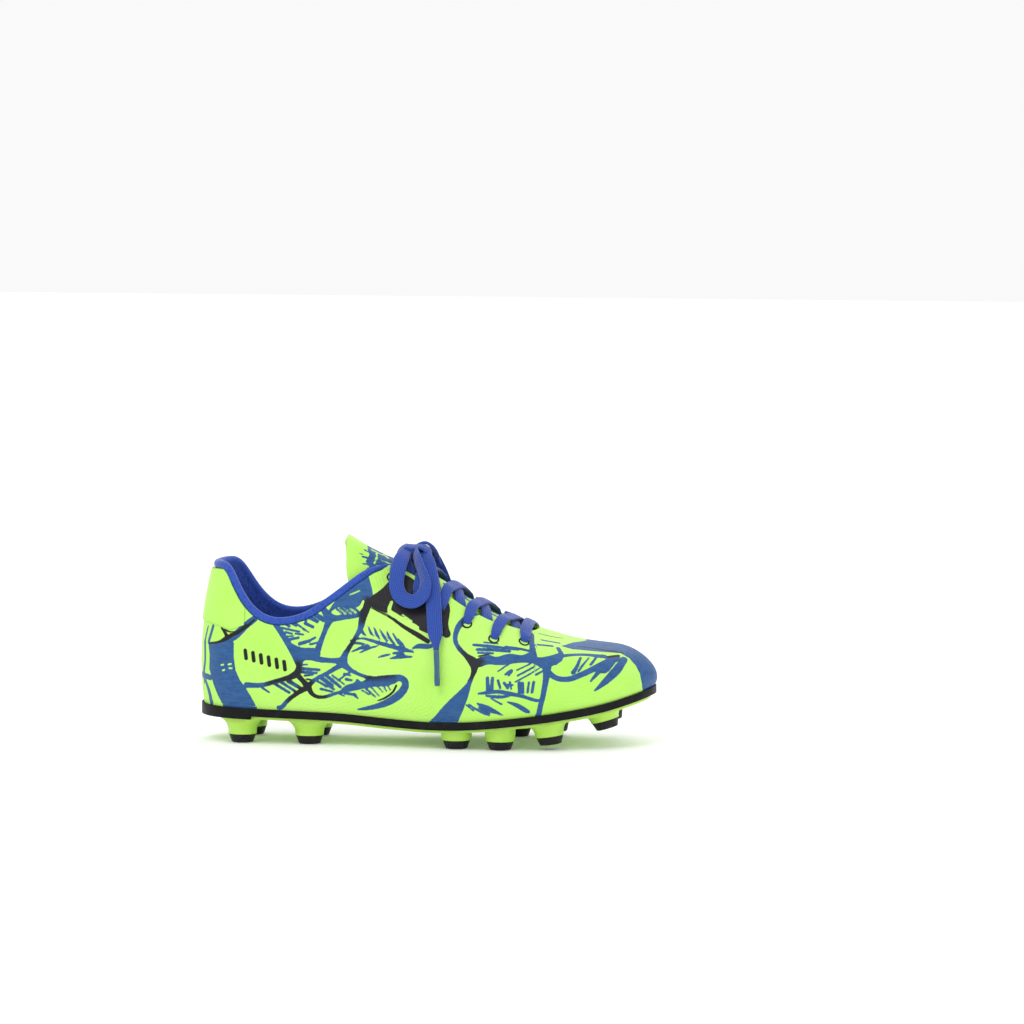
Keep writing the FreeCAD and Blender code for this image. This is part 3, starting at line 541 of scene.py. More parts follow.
HEEL_BLOCK = [(-109.2, 49.4), (-103, 51), (-98, 53), (-94.6, 51.4), (-94.6, 44), (-93.6, 37),
              (-91, 31.8), (-88.4, 28.6), (-85.6, 24), (-82.4, 18), (-82, 15), (-99.4, 15),
              (-101.4, 20), (-104.2, 25), (-106.4, 30), (-108.6, 37), (-108.4, 44)]
BLOCKS = [
    [(-66.5, 52), (-60, 49.6), (-52, 49.2), (-50.2, 45.4), (-57, 43.4), (-61.4, 41.4),
     (-63, 46)],
    [(-46.6, 67), (-42, 74.6), (-35, 81.6), (-29, 88), (-26, 82.4), (-24.2, 75.4), (-26.4, 70),
     (-29, 73.6), (-31, 70.4), (-36, 69.6), (-41, 70)],
    [(-40, 27.6), (-37, 31), (-33, 32.2), (-31.4, 34.4), (-29, 33), (-25, 35), (-18, 35),
     (-10, 34.6), (-12, 32.4), (-17, 31), (-23, 30.4), (-28, 29.4), (-34, 28)],
    [(28.4, 38.4), (26, 34.6), (21.6, 30), (15, 23.6), (9.6, 17.4), (4.6, 10.5), (18, 10.5),
     (22.2, 17), (25.2, 24), (27.2, 30)],
    [(29.4, 45.4), (35, 47.8), (40, 47), (46, 48.4), (52, 47.6), (56, 48.6), (60, 46.4),
     (66, 47), (71, 48), (72, 44.6), (67, 42), (63, 41.2), (58, 43.6), (51, 44), (43, 43),
     (36, 43.2), (31.4, 42)],
]
TOE_CAP = [(90, 60), (88, 51.6), (82, 51.8), (75, 51.8), (70, 50.8), (76, 49.2), (84, 48.3),
           (92, 47.4), (99, 46.6), (103.4, 44.2), (107, 40.6), (109.3, 36.6), (110.3, 32),
           (110.6, 24), (130, 20), (130, 60)]
CHARCOAL = [(-25.8, 74.4), (-20, 79), (-15, 84), (-9, 86), (4, 78), (12.6, 73.6), (15, 69.5),
            (14.8, 62), (16.4, 57.6), (14.4, 55.8), (10.6, 57.4), (4, 58), (-4, 61.6),
            (-14, 66), (-25.4, 70.4)]
print("network lines:", len(NETWORK))

# %% Thin brush work: hatching, ferns and claws
HATCH = [
    # heel
    [(-111.6, 50, 3), (-111.4, 41, 2.6), (-112.4, 34, 3), (-112, 29, 1.5)],
    [(-113.4, 33, 3), (-108, 32.4, 3)], [(-111, 30, 2.4), (-108.6, 24, 3.2), (-107.2, 16, 3.6)],
    [(-109.6, 58, 1.2), (-111.2, 52, 2)], [(-106.4, 58.6, 2), (-109, 50.4, 2.4)],
    # under the collar
    [(-71, 62.6, 1.5), (-66, 60, 1.3)], [(-66.4, 62.4, 1.6), (-62.6, 60.4, 1.4)],
    [(-63.6, 62, 1.2), (-57.4, 58, 1)], [(-58, 61.6, 1.8), (-54, 59.8, 1.6)],
    [(-70, 59.2, 1.2), (-61, 57.4, 1.1)], [(-68.2, 57, 1.2), (-64.6, 56.4, 1)],
    [(-63, 56.4, 1), (-59, 56, 1.1)], [(-66.4, 53.4, 1.6), (-61.4, 54.4, 1.4)],
    [(-60.6, 51.4, 2), (-55.6, 53, 1.6)], [(-55.4, 53.2, 1.4), (-52.8, 54.6, 1.2)],
    [(-55.4, 51.2, 1.3), (-51.6, 52, 1.2)], [(-62, 65.2, 1.4), (-57.6, 63, 1.4)],
    [(-58.4, 66, 2.4), (-52, 62.6, 2)], [(-55, 67.4, 2.6), (-48.6, 63.4, 2.4)],
    [(-67, 55, .9), (-64, 55.2, .8)], [(-59, 58.6, 1), (-56, 57.2, .8)],
    [(-47, 68, 1.2), (-43, 65.2, 1)], [(-44, 70.4, 1.3), (-38, 65.6, 1.1)],
    [(-41, 70.4, 1.3), (-35, 65.6, 1.1)], [(-38.4, 70.4, 1.3), (-33, 66.4, 1.1)],
    [(-36, 71, 1.5), (-31, 67.6, 1.2)],
    # below the big cell
    [(-73.4, 31, 1.6), (-66, 26.6, 1.4)], [(-70, 31.8, 1.6), (-62.4, 27, 1.4)],
    [(-66.4, 32.6, 2.4), (-60, 28.8, 1.8)], [(-80, 29, 1.3), (-76.4, 26.6, 1)],
    [(-60.4, 39, 1.8), (-50.6, 38.4, 1.4)], [(-60.2, 37.2, 1.6), (-52, 36.8, 1.2)],
    [(-60, 40.8, 1), (-56.6, 41, .9)], [(-58, 35.4, 1.2), (-54, 35.8, 1)],
    [(-57, 33.6, 1), (-54, 33.2, 1)], [(-50.4, 35, 2.2), (-44, 30.4, 1.8)],
    [(-47.2, 35.8, 1.8), (-40, 30, 1.6)], [(-44, 35.8, 1.1), (-38, 31.4, 1)],
    [(-52.4, 33.2, 1.3), (-47, 30, 1.2)], [(-40, 34, 1), (-36, 37, 1), (-32, 38.4, .8)],
    [(-38, 36.6, 1.3), (-34.6, 36, 1)], [(-37, 34, 1.6), (-34, 33.4, 1.2)],
    [(-50, 28.8, 1.4), (-44, 27.4, 1.1)], [(-48, 31, 1), (-43, 28.6, 1)],
    # inside the hook leaf
    [(-29, 28.6, 1), (-25, 26.4, .9)], [(-27, 29.8, 1.2), (-22, 25.4, 1)],
    [(-24, 30.2, 1.1), (-20, 26, .9)], [(-21, 31, 1), (-18, 28, .8)],
    [(-18, 31.2, 1), (-16, 28.4, .8)], [(-15.8, 31.8, 1), (-14, 29, .8)],
    [(-38, 27, 1.5), (-32, 26, 1.2)], [(-33, 26.4, 1.8), (-31, 24.4, 1)],
    [(-42, 27.2, 1), (-38, 25.4, .9)],
    # the fern
    [(-35, 53.6, .8), (-29, 54.6, 1.1), (-24, 53.6, 1.6), (-19, 52.2, 2), (-12, 50.6, 2.2),
     (-7, 49.6, 2.2), (-2.4, 48.6, 1)],
    [(-30, 60.4, .7), (-28.6, 57.4, 1.5), (-27, 56, .7)],
    [(-26, 60.6, .8), (-24.6, 57.4, 1.3), (-23, 55.8, .8)],
    [(-23, 60.2, .8), (-21.4, 56.6, 1.4), (-19.8, 54.4, .8)],
    [(-20, 59.2, .8), (-18, 56, 1.5), (-16, 53.4, 1)],
    [(-16.4, 58.2, .8), (-14.6, 54.8, 1.5), (-12, 51.8, 1)],
    [(-13.2, 57.4, .8), (-11, 54, 1.4), (-9, 51.4, 1)],
    [(-10.4, 54.8, .8), (-8.6, 52.6, 1.4), (-6.8, 50.6, .8)],
    [(-35, 51.8, .8), (-31, 52.2, 1.4), (-26, 51.4, .9)],
    [(-34.2, 47.8, .8), (-29.6, 49.8, 1.6), (-25, 51, .9)],
    [(-30, 47.4, .8), (-25.6, 49.6, 1.3), (-21, 51, .8)],
    [(-20.4, 45.4, .9), (-17, 46.4, 1.4), (-14.4, 47, .8)],
    [(-14.2, 45, .9), (-9, 46, 2), (-3, 46.2, .9)], [(-12.8, 47.6, 1.2), (-8, 48.2, 1.8)],
    [(-10.6, 46.4, 1.4), (-7, 47.2, 1)],
    [(-2.8, 50.4, .9), (.6, 51.6, 2.6), (6, 51.6, 2.4), (9.4, 53.2, .8)],
    # between the laces and the band
    [(28, 52.6, 1.4), (35, 52, 1.8), (42, 51.2, 1.6), (50, 50, 1.2)],
    [(30, 50.4, 1.6), (38, 50.2, 2), (46, 49.4, 1.8)], [(44, 51.6, 1.4), (52, 50.2, 1.8),
                                                        (58, 48.6, 1.6)],
    [(30.6, 48.8, 1.2), (38, 48.6, 1.2)], [(58, 52, 1.4), (66, 51, 1.6)],
    [(60, 53.8, 1.2), (69, 52, 1.4)], [(33, 53.8, .9), (40, 53, .9)],
    # bars and leaves in the lower cell
    [(36, 36.8, 1.8), (36.6, 30, 2.2)], [(38.6, 36.8, 1.6), (38.3, 30, 2)],
    [(41.4, 35.6, 1.5), (42.6, 32, 1.3)], [(44.6, 34.4, 1.7), (46.4, 32, 1.4)],
    [(47.4, 35, 1.2), (48.2, 31.6, 1)], [(46, 33.4, 1.4), (49, 33.6, 1)],
    [(52, 34.6, 1.8), (52.4, 30, 1.8)], [(53.6, 34.4, 1.8), (54, 30, 1.8)],
    [(56.8, 34.8, 1.3), (56.4, 30, 1.3)], [(59.2, 35, 1.6), (58.6, 30, 1.5)],
    [(31.6, 29, 1), (36, 29.6, 1.8), (42, 30.2, 2), (48, 29.2, 2.2), (54, 28, 1.8),
     (60, 26.2, 1.8), (64, 25.8, 1)],
    [(35.6, 28, 1), (42, 27.6, 1.8), (47, 28, 1)], [(38, 26.8, .9), (43.4, 24, 1.2)],
    [(31, 24.2, .8), (34, 22.6, 2.6), (38, 21, 2.8), (44, 18.4, .7)],
    [(32, 22, 1.2), (37, 18.9, 1.4)], [(46.4, 25.2, .8), (51, 23.6, 2.2), (55.8, 20.8, 2.4),
                                      (57.6, 20, .8)],
    [(25.4, 23.2, 1), (29, 20.4, .9)], [(26.8, 23.4, 1), (33, 19.8, 1.2), (37.2, 18, .8)],
    [(50, 35, .9), (56, 38.2, 1), (61.4, 41.4, .9)], [(51, 38, 1.1), (59, 42.2, 1.2)],
    [(50.4, 40.6, .9), (57, 43.6, .9)], [(45, 38.6, 1.4), (47.8, 40.4, 1.8), (46.6, 38, 1)],
    [(41, 40, .8), (46.4, 43.6, 1)], [(60, 38.4, 1.4), (63.4, 40.2, 1)],
    # claws and web at the toe
    [(95.4, 44.4, 4.6), (91, 40, 2.8), (86.8, 34.8, 1)],
    [(101.4, 44, 3.6), (98.6, 39.4, 4.4), (94, 34.6, 3.4), (89, 30.2, 1)],
    [(97, 44.6, 3), (93.6, 39.8, 3), (91.6, 38.6, 1)],
    [(66, 46, 2.4), (74, 46.8, 2.2), (82, 46.8, 2.2), (92, 45.6, 3.4)],
    [(80.6, 45.6, 1.4), (79.6, 42, 1.8), (78, 39, 2.4)], [(84.6, 45.4, .9), (82, 42, 1.3),
                                                       (80.4, 39.4, 1)],
    [(69, 50, 2.2), (71.4, 46.6, 2.6), (69, 43.4, 2)], [(88, 45.4, 1.3), (86, 42.4, 1.6)],
]
INK_LINES = [
    [(-109, 49.6, 1.1), (-103, 51, 1.3), (-99, 53, 2.4), (-96, 54.8, 2), (-92, 56.4, 1.2),
     (-88, 59.4, 1.2), (-84, 63, 1)],
    [(-101.4, 58, 1.2), (-99.6, 56, 1.8), (-98.2, 53.6, 2.4)],
    [(-99.6, 57.4, .9), (-96, 56.4, .8), (-92, 57.6, .8), (-88.4, 60.6, .8)],
    [(-11, 31.6, 1.1), (-12.8, 28.2, 1.2), (-17, 25, 1.1), (-21, 23.4, .7)],
    [(-25.6, 70.2, 1), (-15.4, 65.6, 1.4), (-8, 61, 1.9), (0, 56.8, 2.6), (5, 54, 2.4)],
    [(78, 50.2, .8), (86, 49.2, 1), (95, 47.6, 1.3), (100, 46.6, 1)],
    [(93.6, 45.4, 1.6), (98.4, 45.6, 1.8)], [(56, 57, .8), (64, 54.8, .9), (70, 53.6, .7)],
    [(31, 47.2, .9), (36, 48.2, .8)],
]
DUSK = [
    [(-61.6, 41, 4), (-61.6, 38, 5), (-64, 35, 5), (-70, 33.4, 3.6), (-77, 31, 2)],
    [(-60, 34, 5), (-56.4, 29.6, 7), (-61, 27, 5), (-66, 23, 3)],
    [(-56, 29, 6), (-53, 25.6, 5), (-48, 25, 3)],
    [(-26.6, 72, 6), (-28, 67, 6), (-29, 63, 3)], [(-33, 54, 2.4), (-36, 49, 3)],
    [(-26, 34.8, 2), (-20, 35.6, 2.4), (-12, 36.2, 1.6)],
    [(21, 51, 1), (25, 47.2, 4), (28.8, 44, 8), (29.2, 40.6, 5.4), (28, 37, 3)],
    [(29, 44, 6), (32, 44.6, 4)],
]
CLEAR = [
    [(-101.6, 39.4, .9), (-100.2, 39.8, .9)], [(-97.6, 40, .9), (-96, 40.4, .9)],
    [(-100.8, 36.8, .8), (-99.6, 37.2, .8)], [(-97.2, 38.2, .9), (-95.6, 38.2, .9)],
    [(-14.6, 72.6, 1.6), (-15.6, 68.6, 2), (-13, 66.4, 2.6), (-8, 64.4, 1.6), (-1, 60.4, 2.4)],
    [(-8.6, 66.6, .8), (-4, 63.6, 1)], [(-36, 76, .7), (-31, 78, .8)],
]
BADGE = [[(x, 47.6 - (x + 89) * 0.26, 2), (x + 0.5, 43.6 - (x + 89) * 0.26, 2)]
         for x in (-88.6, -84.6, -80.6, -76.6, -72.6, -68.6)]
print("brush strokes:", len(HATCH) + len(INK_LINES) + len(DUSK) + len(CLEAR))

# %% Give the upper its thickness, then draw on its points
UPPER_THICK = 1.4
materials = [bpy.data.materials.new(name) for name in ("printed_face", "fabric_back")]


def draw_print(piece):
    """Thickness first, because the ink is stored on the finished piece's points."""
    for finish in materials:
        piece.data.materials.append(finish)
    thickened(piece, UPPER_THICK, inner_slot=1)
    smooth_shaded(piece, 50)
    ink = Print(piece)
    for line in NETWORK:
        ink.stroke("blue", line, reach=REACH)
    ink.shape("blue", HEEL_BLOCK, soft=False)
    ink.shape("blue", TOE_CAP, soft=False)
    for block in BLOCKS:
        ink.shape("blue", block)
    ink.layers["rings"] = ink.layers["blue"].copy()
    for line in HATCH:
        ink.stroke("blue", line)
    ink.shape("charcoal", CHARCOAL)
    for line in INK_LINES:
        ink.stroke("black", line)
    for line in BADGE:
        ink.stroke("black", line, sides=("lateral",))
    for line in DUSK:
        ink.stroke("dusk", line, reach=6)
    for line in CLEAR:
        ink.stroke("clear", line)
    for name in ("blue", "charcoal", "black"):
        ink.layers[name] = np.minimum(ink.layers[name], -ink.layers["clear"])
    ink.save()
    print(piece.name, "share in ink:", round(float((ink.layers["blue"] > 0).mean()), 3))


draw_print(quarters)
draw_print(vamp)

# %% [markdown]
# ## Finishes
# A finish is colour, gloss and a fine surface, and all three come from nodes, so they hold at
# any distance. Patterns sit on object coordinates, in metres, or on a piece's own UV map where
# the weave runs along the piece. Scales are real: leather grain is half a millimetre, lace
# braid a bit over one.

# %% A short way to write node trees


def rgb(r, g, b):
    """A colour named by its everyday 0-255 values, as the renderer wants it."""
    return tuple(v / 12.92 if v <= 0.04045 else ((v + 0.055) / 1.055) ** 2.4
                 for v in (r / 255, g / 255, b / 255)) + (1.0,)


class Finish:
    """One material: constant values go on the shader's own sockets, patterns are added."""

    def __init__(self, name, **values):
        self.mat = bpy.data.materials.get(name) or bpy.data.materials.new(name)
        self.mat.use_nodes = True
        self.tree = self.mat.node_tree
        self.shader = self.tree.nodes["Principled BSDF"]
        for key, value in values.items():
            self.shader.inputs[key.replace("_", " ").title().replace("Ior", "IOR")
                               ].default_value = value
        self.place = self.add("ShaderNodeTexCoord").outputs["Object"]
        self.height = None

    def add(self, kind, inputs=(), **settings):
        node = self.tree.nodes.new(kind)
        for key, value in settings.items():
            setattr(node, key, value)
        for key, value in dict(inputs).items():
            if isinstance(value, bpy.types.NodeSocket):
                self.tree.links.new(value, node.inputs[key])
            else:
                node.inputs[key].default_value = value
        return node

    def math(self, operation, a, b=0.0):
        return self.add("ShaderNodeMath", {0: a, 1: b}, operation=operation).outputs[0]

    def mix(self, factor, a, b):
        node = self.add("ShaderNodeMix", {0: factor, 6: a, 7: b}, data_type="RGBA")
        return node.outputs[2]

    def noise(self, scale, detail=2.0, place=None, rough=0.5):
        return self.add("ShaderNodeTexNoise", {"Vector": place or self.place, "Scale": scale,
                                               "Detail": detail, "Roughness": rough}).outputs[0]

    def cells(self, scale, feature="F1", place=None):
        return self.add("ShaderNodeTexVoronoi", {"Vector": place or self.place, "Scale": scale},
                        feature=feature).outputs["Distance"]

    def field(self, name):
        return self.add("ShaderNodeAttribute", attribute_type="GEOMETRY",
                        attribute_name=name).outputs["Fac"]

    def band(self, value, low, high, to_low=0.0, to_high=1.0):
        return self.add("ShaderNodeMapRange", {0: value, 1: low, 2: high, 3: to_low,
                                               4: to_high}).outputs[0]

    def stretched(self, factors, place=None):
        return self.add("ShaderNodeMapping", {0: place or self.place, 3: factors}).outputs[0]

    def relief(self, value, mm):
        """Adds a bump of that height in millimetres."""
        inputs = {"Height": value, "Distance": mm * MM, "Strength": 1.0}
        if self.height is not None:
            inputs["Normal"] = self.height
        self.height = self.add("ShaderNodeBump", inputs).outputs[0]

    def done(self, colour=None, roughness=None):
        for key, value in (("Base Color", colour), ("Roughness", roughness),
                           ("Normal", self.height)):
            if value is not None:
                self.tree.links.new(value, self.shader.inputs[key])
        return self.mat


NEON, NEON_SHADE = rgb(186, 236, 112), rgb(170, 228, 90)
INK_BLUE, INK_DEEP = rgb(44, 92, 146), rgb(28, 70, 122)
INK_DARK, INK_BLACK = rgb(18, 24, 32), rgb(12, 12, 12)
CLOTH_BLUE, CLOTH_DEEP = rgb(46, 80, 170), rgb(26, 48, 124)
print("neon green, linear:", [round(v, 3) for v in NEON])

# %% [markdown]
# ### Printed synthetic leather
# Polyurethane on a fabric back: satin, with a fine pressed grain. The ink's edge wanders a
# little, strokes are streaky, and the green cells carry faint raised rings that follow their
# outlines, which come from the same distance field as the ink.

# %% The printed face


def printed(name, fields, rings=None):
    """fields: (stored distance, pale ink, deep ink, how ragged its edge is in mm)."""
    f = Finish(name, roughness=0.46, specular_ior_level=0.28)
    wander = f.math("SUBTRACT", f.noise(700, 3), 0.5)
    streaks = f.noise(420, 4, f.stretched((0.35, 1, 1.6)), 0.7)
    base = f.mix(f.band(f.noise(22, 2), 0.35, 0.7), NEON, NEON_SHADE)
    grain = f.cells(1500, "SMOOTH_F1")
    base = f.mix(f.band(grain, 0.1, 0.75, 0.0, 0.22), base, NEON_SHADE)
    if rings:
        wave = f.math("SINE", f.math("MULTIPLY", f.math("ADD", f.field(rings), f.math(
            "MULTIPLY", wander, 0.5)), 2 * math.pi / 1.7))
        show = f.math("MULTIPLY", f.band(f.field(rings), -13.0, -9.0),
                      f.band(f.field(rings), -0.4, -1.4))
        base = f.mix(f.math("MULTIPLY", f.band(wave, 0.2, 1.0, 0.0, 0.13), show), base,
                     rgb(140, 214, 70))
        f.relief(f.math("MULTIPLY", wave, show), 0.035)
    colour = base
    for field, pale, deep, ragged in fields:
        edge = f.math("ADD", f.field(field), f.math("MULTIPLY", wander, ragged))
        shade = f.mix(f.band(streaks, 0.35, 0.7), pale, deep)
        if field == "blue" and rings:
            dusk = f.band(f.math("ADD", f.field("dusk"), f.math("MULTIPLY", wander, 2.0)),
                          -1.6, 1.2)
            shade = f.mix(dusk, shade, INK_DARK)
        colour = f.mix(f.band(edge, -0.14, 0.14), colour, shade)
    f.relief(grain, 0.06)
    f.relief(f.noise(2600, 2), 0.03)
    return f.done(colour, f.band(grain, 0.1, 0.8, 0.40, 0.56))


printed("printed_face", [("blue", INK_BLUE, INK_DEEP, 0.45),
                         ("charcoal", rgb(24, 22, 28), rgb(15, 14, 18), 0.4),
                         ("black", INK_BLACK, rgb(18, 22, 28), 0.3)], rings="rings")
print("printed face ready")

# %% Cloth, foam, board and rubber


def cloth(name, pale, deep, scale=900, lift=0.12, fuzz=0.35):
    """A knitted cloth: small loops in rows, soft sheen. The gaps between the loops, where the bump
    is low, take the deep colour as painted shade, and a slight random colour change is added.
    """
    f = Finish(name, roughness=0.85, sheen_weight=fuzz, sheen_roughness=0.4,
               specular_ior_level=0.25)
    loops = f.cells(scale, "F1", f.stretched((1, 1, 0.7)))
    fibre = f.noise(scale * 3.2, 2)
    f.relief(loops, -lift)
    f.relief(fibre, 0.05)
    # deep colour in the low gaps between loops is painted shade in the recesses; the large noise
    # adds random tone
    tone = f.math("ADD", f.math("MULTIPLY", loops, 0.8), f.math("MULTIPLY", f.noise(30, 2), 0.25))
    return f.done(f.mix(f.band(tone, 0.2, 0.95), pale, deep))


def woven(name, pale, deep):
    """Flat braid on the piece's UV map, which is in millimetres: yarns run both ways. The grooves
    between yarns take the deep colour as painted shade, and the fibre noise adds random tone.
    """
    f = Finish(name, roughness=0.8, sheen_weight=0.45, sheen_roughness=0.35,
               specular_ior_level=0.3)
    uv = f.add("ShaderNodeUVMap", uv_map="UVMap").outputs[0]
    parts = f.add("ShaderNodeSeparateXYZ", {0: uv})
    across, along = parts.outputs[0], parts.outputs[1]
    lean = f.math("MULTIPLY", across, 0.55)
    turn = 2 * math.pi / 1.15
    one = f.math("SINE", f.math("MULTIPLY", f.math("ADD", along, lean), turn))
    two = f.math("SINE", f.math("MULTIPLY", f.math("SUBTRACT", along, lean), turn))
    ribs = f.math("COSINE", f.math("MULTIPLY", across, 2 * math.pi / 0.95))
    yarn = f.math("MULTIPLY", f.math("MAXIMUM", one, two), 0.6)
    yarn = f.math("ADD", yarn, f.math("MULTIPLY", ribs, 0.4))
    hair = f.noise(3.2, 3, f.stretched((1.0, 0.45, 1.0), uv))
    f.relief(yarn, 0.11)
    f.relief(hair, 0.10)
    # deep colour in the grooves between raised yarns is painted shade; the fibre noise is random
    # tone
    tone = f.math("ADD", f.math("MULTIPLY", yarn, 0.5), hair)
    return f.done(f.mix(f.band(tone, 0.1, 1.0), deep, pale))


def moulded(name, pale, deep, gloss, grain=0.03, scuffs=0.0, **values):
    """Moulded rubber or plastic: a satin skin with a faint grain, and scuffs if it is worn."""
    f = Finish(name, **values)
    f.relief(f.noise(1400, 3), grain)
    f.relief(f.noise(90, 2), grain * 2)
    wear = f.band(f.noise(260, 5, rough=0.75), 0.52, 0.75, 0.0, scuffs)
    tone = f.mix(f.band(f.noise(35, 3), 0.35, 0.7), pale, deep)
    return f.done(f.mix(wear, tone, rgb(120, 120, 118)) if scuffs else tone,
                  f.band(f.noise(180, 4), 0.3, 0.75, gloss, gloss + 0.16))


lining_cloth = cloth("lining_cloth", CLOTH_BLUE, CLOTH_DEEP, 1100, 0.1)
collar_cloth = cloth("collar_cloth", rgb(54, 90, 184), rgb(34, 62, 146), 1300, 0.08, 0.4)
sock_cloth = cloth("sock_cloth", rgb(44, 74, 168), rgb(24, 42, 116), 700, 0.16)
cloth("fabric_back", rgb(214, 218, 214), rgb(170, 176, 172), 1500, 0.06, 0.2)
lace_braid = woven("lace_braid", rgb(52, 88, 180), rgb(24, 46, 118))
board_fibre = moulded("board_fibre", rgb(176, 150, 112), rgb(150, 124, 88), 0.75, 0.08)
stiff_fibre = moulded("stiff_fibre", rgb(206, 196, 172), rgb(184, 172, 146), 0.7, 0.06)
black_rubber = moulded("black_rubber", rgb(8, 9, 9), rgb(13, 14, 14), 0.46, 0.05, 0.05,
                       specular_ior_level=0.16)
tip_rubber = moulded("tip_rubber", rgb(14, 14, 16), rgb(22, 22, 24), 0.42, 0.05, 0.14,
                     specular_ior_level=0.25)
green_plastic = moulded("green_plastic", rgb(186, 232, 92), rgb(166, 216, 74), 0.30, 0.03,
                        subsurface_weight=0.12, subsurface_scale=0.004)
aglet_film = moulded("aglet_film", rgb(34, 100, 134), rgb(22, 72, 110), 0.16, 0.02,
                     coat_weight=0.5)
# near black for the eyelet discs and rims: painted shade of the holes
painted_hole_shade = moulded("painted_hole_shade", rgb(16, 18, 24), rgb(24, 28, 36), 0.8)
print("finishes:", len(bpy.data.materials))

# %% [markdown]
# ## Finishing a piece
# Each piece rides on a body of the solid model and stands for the solid parts that it covers.

# %% One call to finish a piece


def finished(obj, body, slot, *stands_for, finish=None):
    if finish is not None:
        obj.data.materials.clear()
        obj.data.materials.append(finish)
    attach(obj, body)
    if stands_for:
        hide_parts(*stands_for)
    print(f"{obj.name}: {len(obj.data.polygons)} faces on {body}")
    return obj


finished(quarters, "shoe", "print_upper", "upper_shell")
finished(vamp, "shoe", "print_upper", "upper_shell")

# %% [markdown]
# ## Heel patch
# A second, plain piece of the same sheet is sewn over the heel. It is the upper's own surface
# again, a little further out, from its curved lower edge to the collar.

# %% Heel patch
PATCH_OUT, PATCH_THICK = 0.85, 0.8
PATCH_EDGE = [(-122, 60), (-108, 60.5), (-101, 59), (-97, 58), (-92.5, 59.2), (-88.4, 61),
              (-85.6, 63.2), (-82, 67), (-79, 72)]
patch_line = smooth(PATCH_EDGE)


def angle_where(side, s, depth, line):
    """How far up the wall each column meets a line seen from the side."""
    low, high = np.full(np.shape(s), 2.0), np.full(np.shape(s), 89.5)
    for _ in range(30):
        middle = (low + high) / 2
        p = wall(side, s, middle, depth)
        under = p[..., 2] < line(p[..., 0])
        low, high = np.where(under, middle, low), np.where(under, high, middle)
    return low


patch = skin("heel_overlay", -PATCH_OUT, lambda p: p[..., 2] < upper_edge(p[..., 0]), 70, 44,
             (0.0, 0.152), low=lambda side, s: angle_where(side, s, -PATCH_OUT, patch_line))
thickened(patch, PATCH_THICK)
softened(patch, 0.35, 2)
smooth_shaded(patch, 50)
plain = printed("plain_face", [])
finished(patch, "shoe", "plain_upper", "heel_patch", finish=plain)

# %% [markdown]
# ## Lining
# Round the ankle a knitted lining covers a strip of foam, so it swells below the collar edge
# and thins out towards the sole. The toe has only a thin lining. Both are skins a few
# millimetres inside the upper.

# %% Padded lining of the quarters, and the thin lining of the vamp
quarter_top = smooth([(-27, 95), (-17, 78), (-3.5, 69), (9.5, 61.5), (25, 54)])
vamp_top = smooth([(25.3, 52), (38, 46), (52, 43), (62, 42)])


def lining_kept(p):
    """True below the collar roll and below the place where the lining meets the tongue."""
    return p[..., 2] < np.minimum(roll_line(p[..., 0]), quarter_top(p[..., 0]))


seam = float(seen("lateral", 25.0, 30.0)[0])
lining = skin("padded_lining", 3.0, lining_kept, 150, 46, (0.0, seam), low=3.0)
co = points_of(lining)
out = np.array([v.normal for v in lining.data.vertices])
drop = upper_edge(co[:, 0]) - co[:, 2]
swell = 1.7 * np.exp(-((drop - 9) / 8) ** 2) * np.clip((-42 - co[:, 0]) / 12, 0, 1)
put_points(lining, co - out * swell[:, None])
thickened(lining, 1.1)
smooth_shaded(lining, 60)
finished(lining, "shoe", "lining", "quarter_lining", "collar_foam", finish=lining_cloth)


def toe_kept(p):
    return (p[..., 0] > 62) | (p[..., 2] < vamp_top(p[..., 0]))


toe_lining = skin("toe_lining", 2.4, toe_kept, 90, 30, (seam + 0.002, 1.0), low=3.0)
thickened(toe_lining, 0.7)
smooth_shaded(toe_lining, 60)
finished(toe_lining, "shoe", "lining", "vamp_lining", finish=lining_cloth)

# %% [markdown]
# ## Long soft pieces
# A collar roll, a lace or a bow is one cross-section carried along a line: round for the roll,
# flat with soft edges for a lace. A flat grid is wrapped into that tube, its seam merged and its
# ends closed, and its UV map holds real millimetres so that the weave keeps its size.

# %% Carry a section along a line


def unit(v):
    """Vectors of length one."""
    return v / np.maximum(np.linalg.norm(v, axis=-1, keepdims=True), 1e-9)


def swept(name, centre, across, up, width, thick, around=18, square=0.72):
    """A closed tube or ribbon through cross-sections (mm)."""
    centre = np.asarray(centre, float)
    n = len(centre)
    width, thick = np.broadcast_to(width, n).astype(float), np.broadcast_to(thick, n).astype(float)
    turn = np.linspace(0, 2 * math.pi, around + 1)
    c, k = np.cos(turn), np.sin(turn)
    a = np.sign(c) * np.abs(c) ** square
    b = np.sign(k) * np.abs(k) ** square
    ring = (centre[:, None] + across[:, None] * (a[None, :, None] * width[:, None, None] / 2)
            + up[:, None] * (b[None, :, None] * thick[:, None, None] / 2))
    piece = new_grid(name, around + 1, n)
    put_points(piece, ring.reshape(-1, 3))
    girth, length = far_along(ring[n // 2]), far_along(centre)
    loops = np.empty(len(piece.data.loops), int)
    piece.data.loops.foreach_get("vertex_index", loops)
    uv = np.stack([girth[loops % (around + 1)], length[loops // (around + 1)]], -1)
    piece.data.uv_layers[0].name = "UVMap"
    piece.data.uv_layers[0].data.foreach_set("uv", uv.astype(np.float32).ravel())
    sewn(piece, 0.002)
    edited(piece, bpy.ops.mesh.fill_holes, sides=0)
    turned_out(piece)
    smooth_shaded(piece, 70)
    return piece


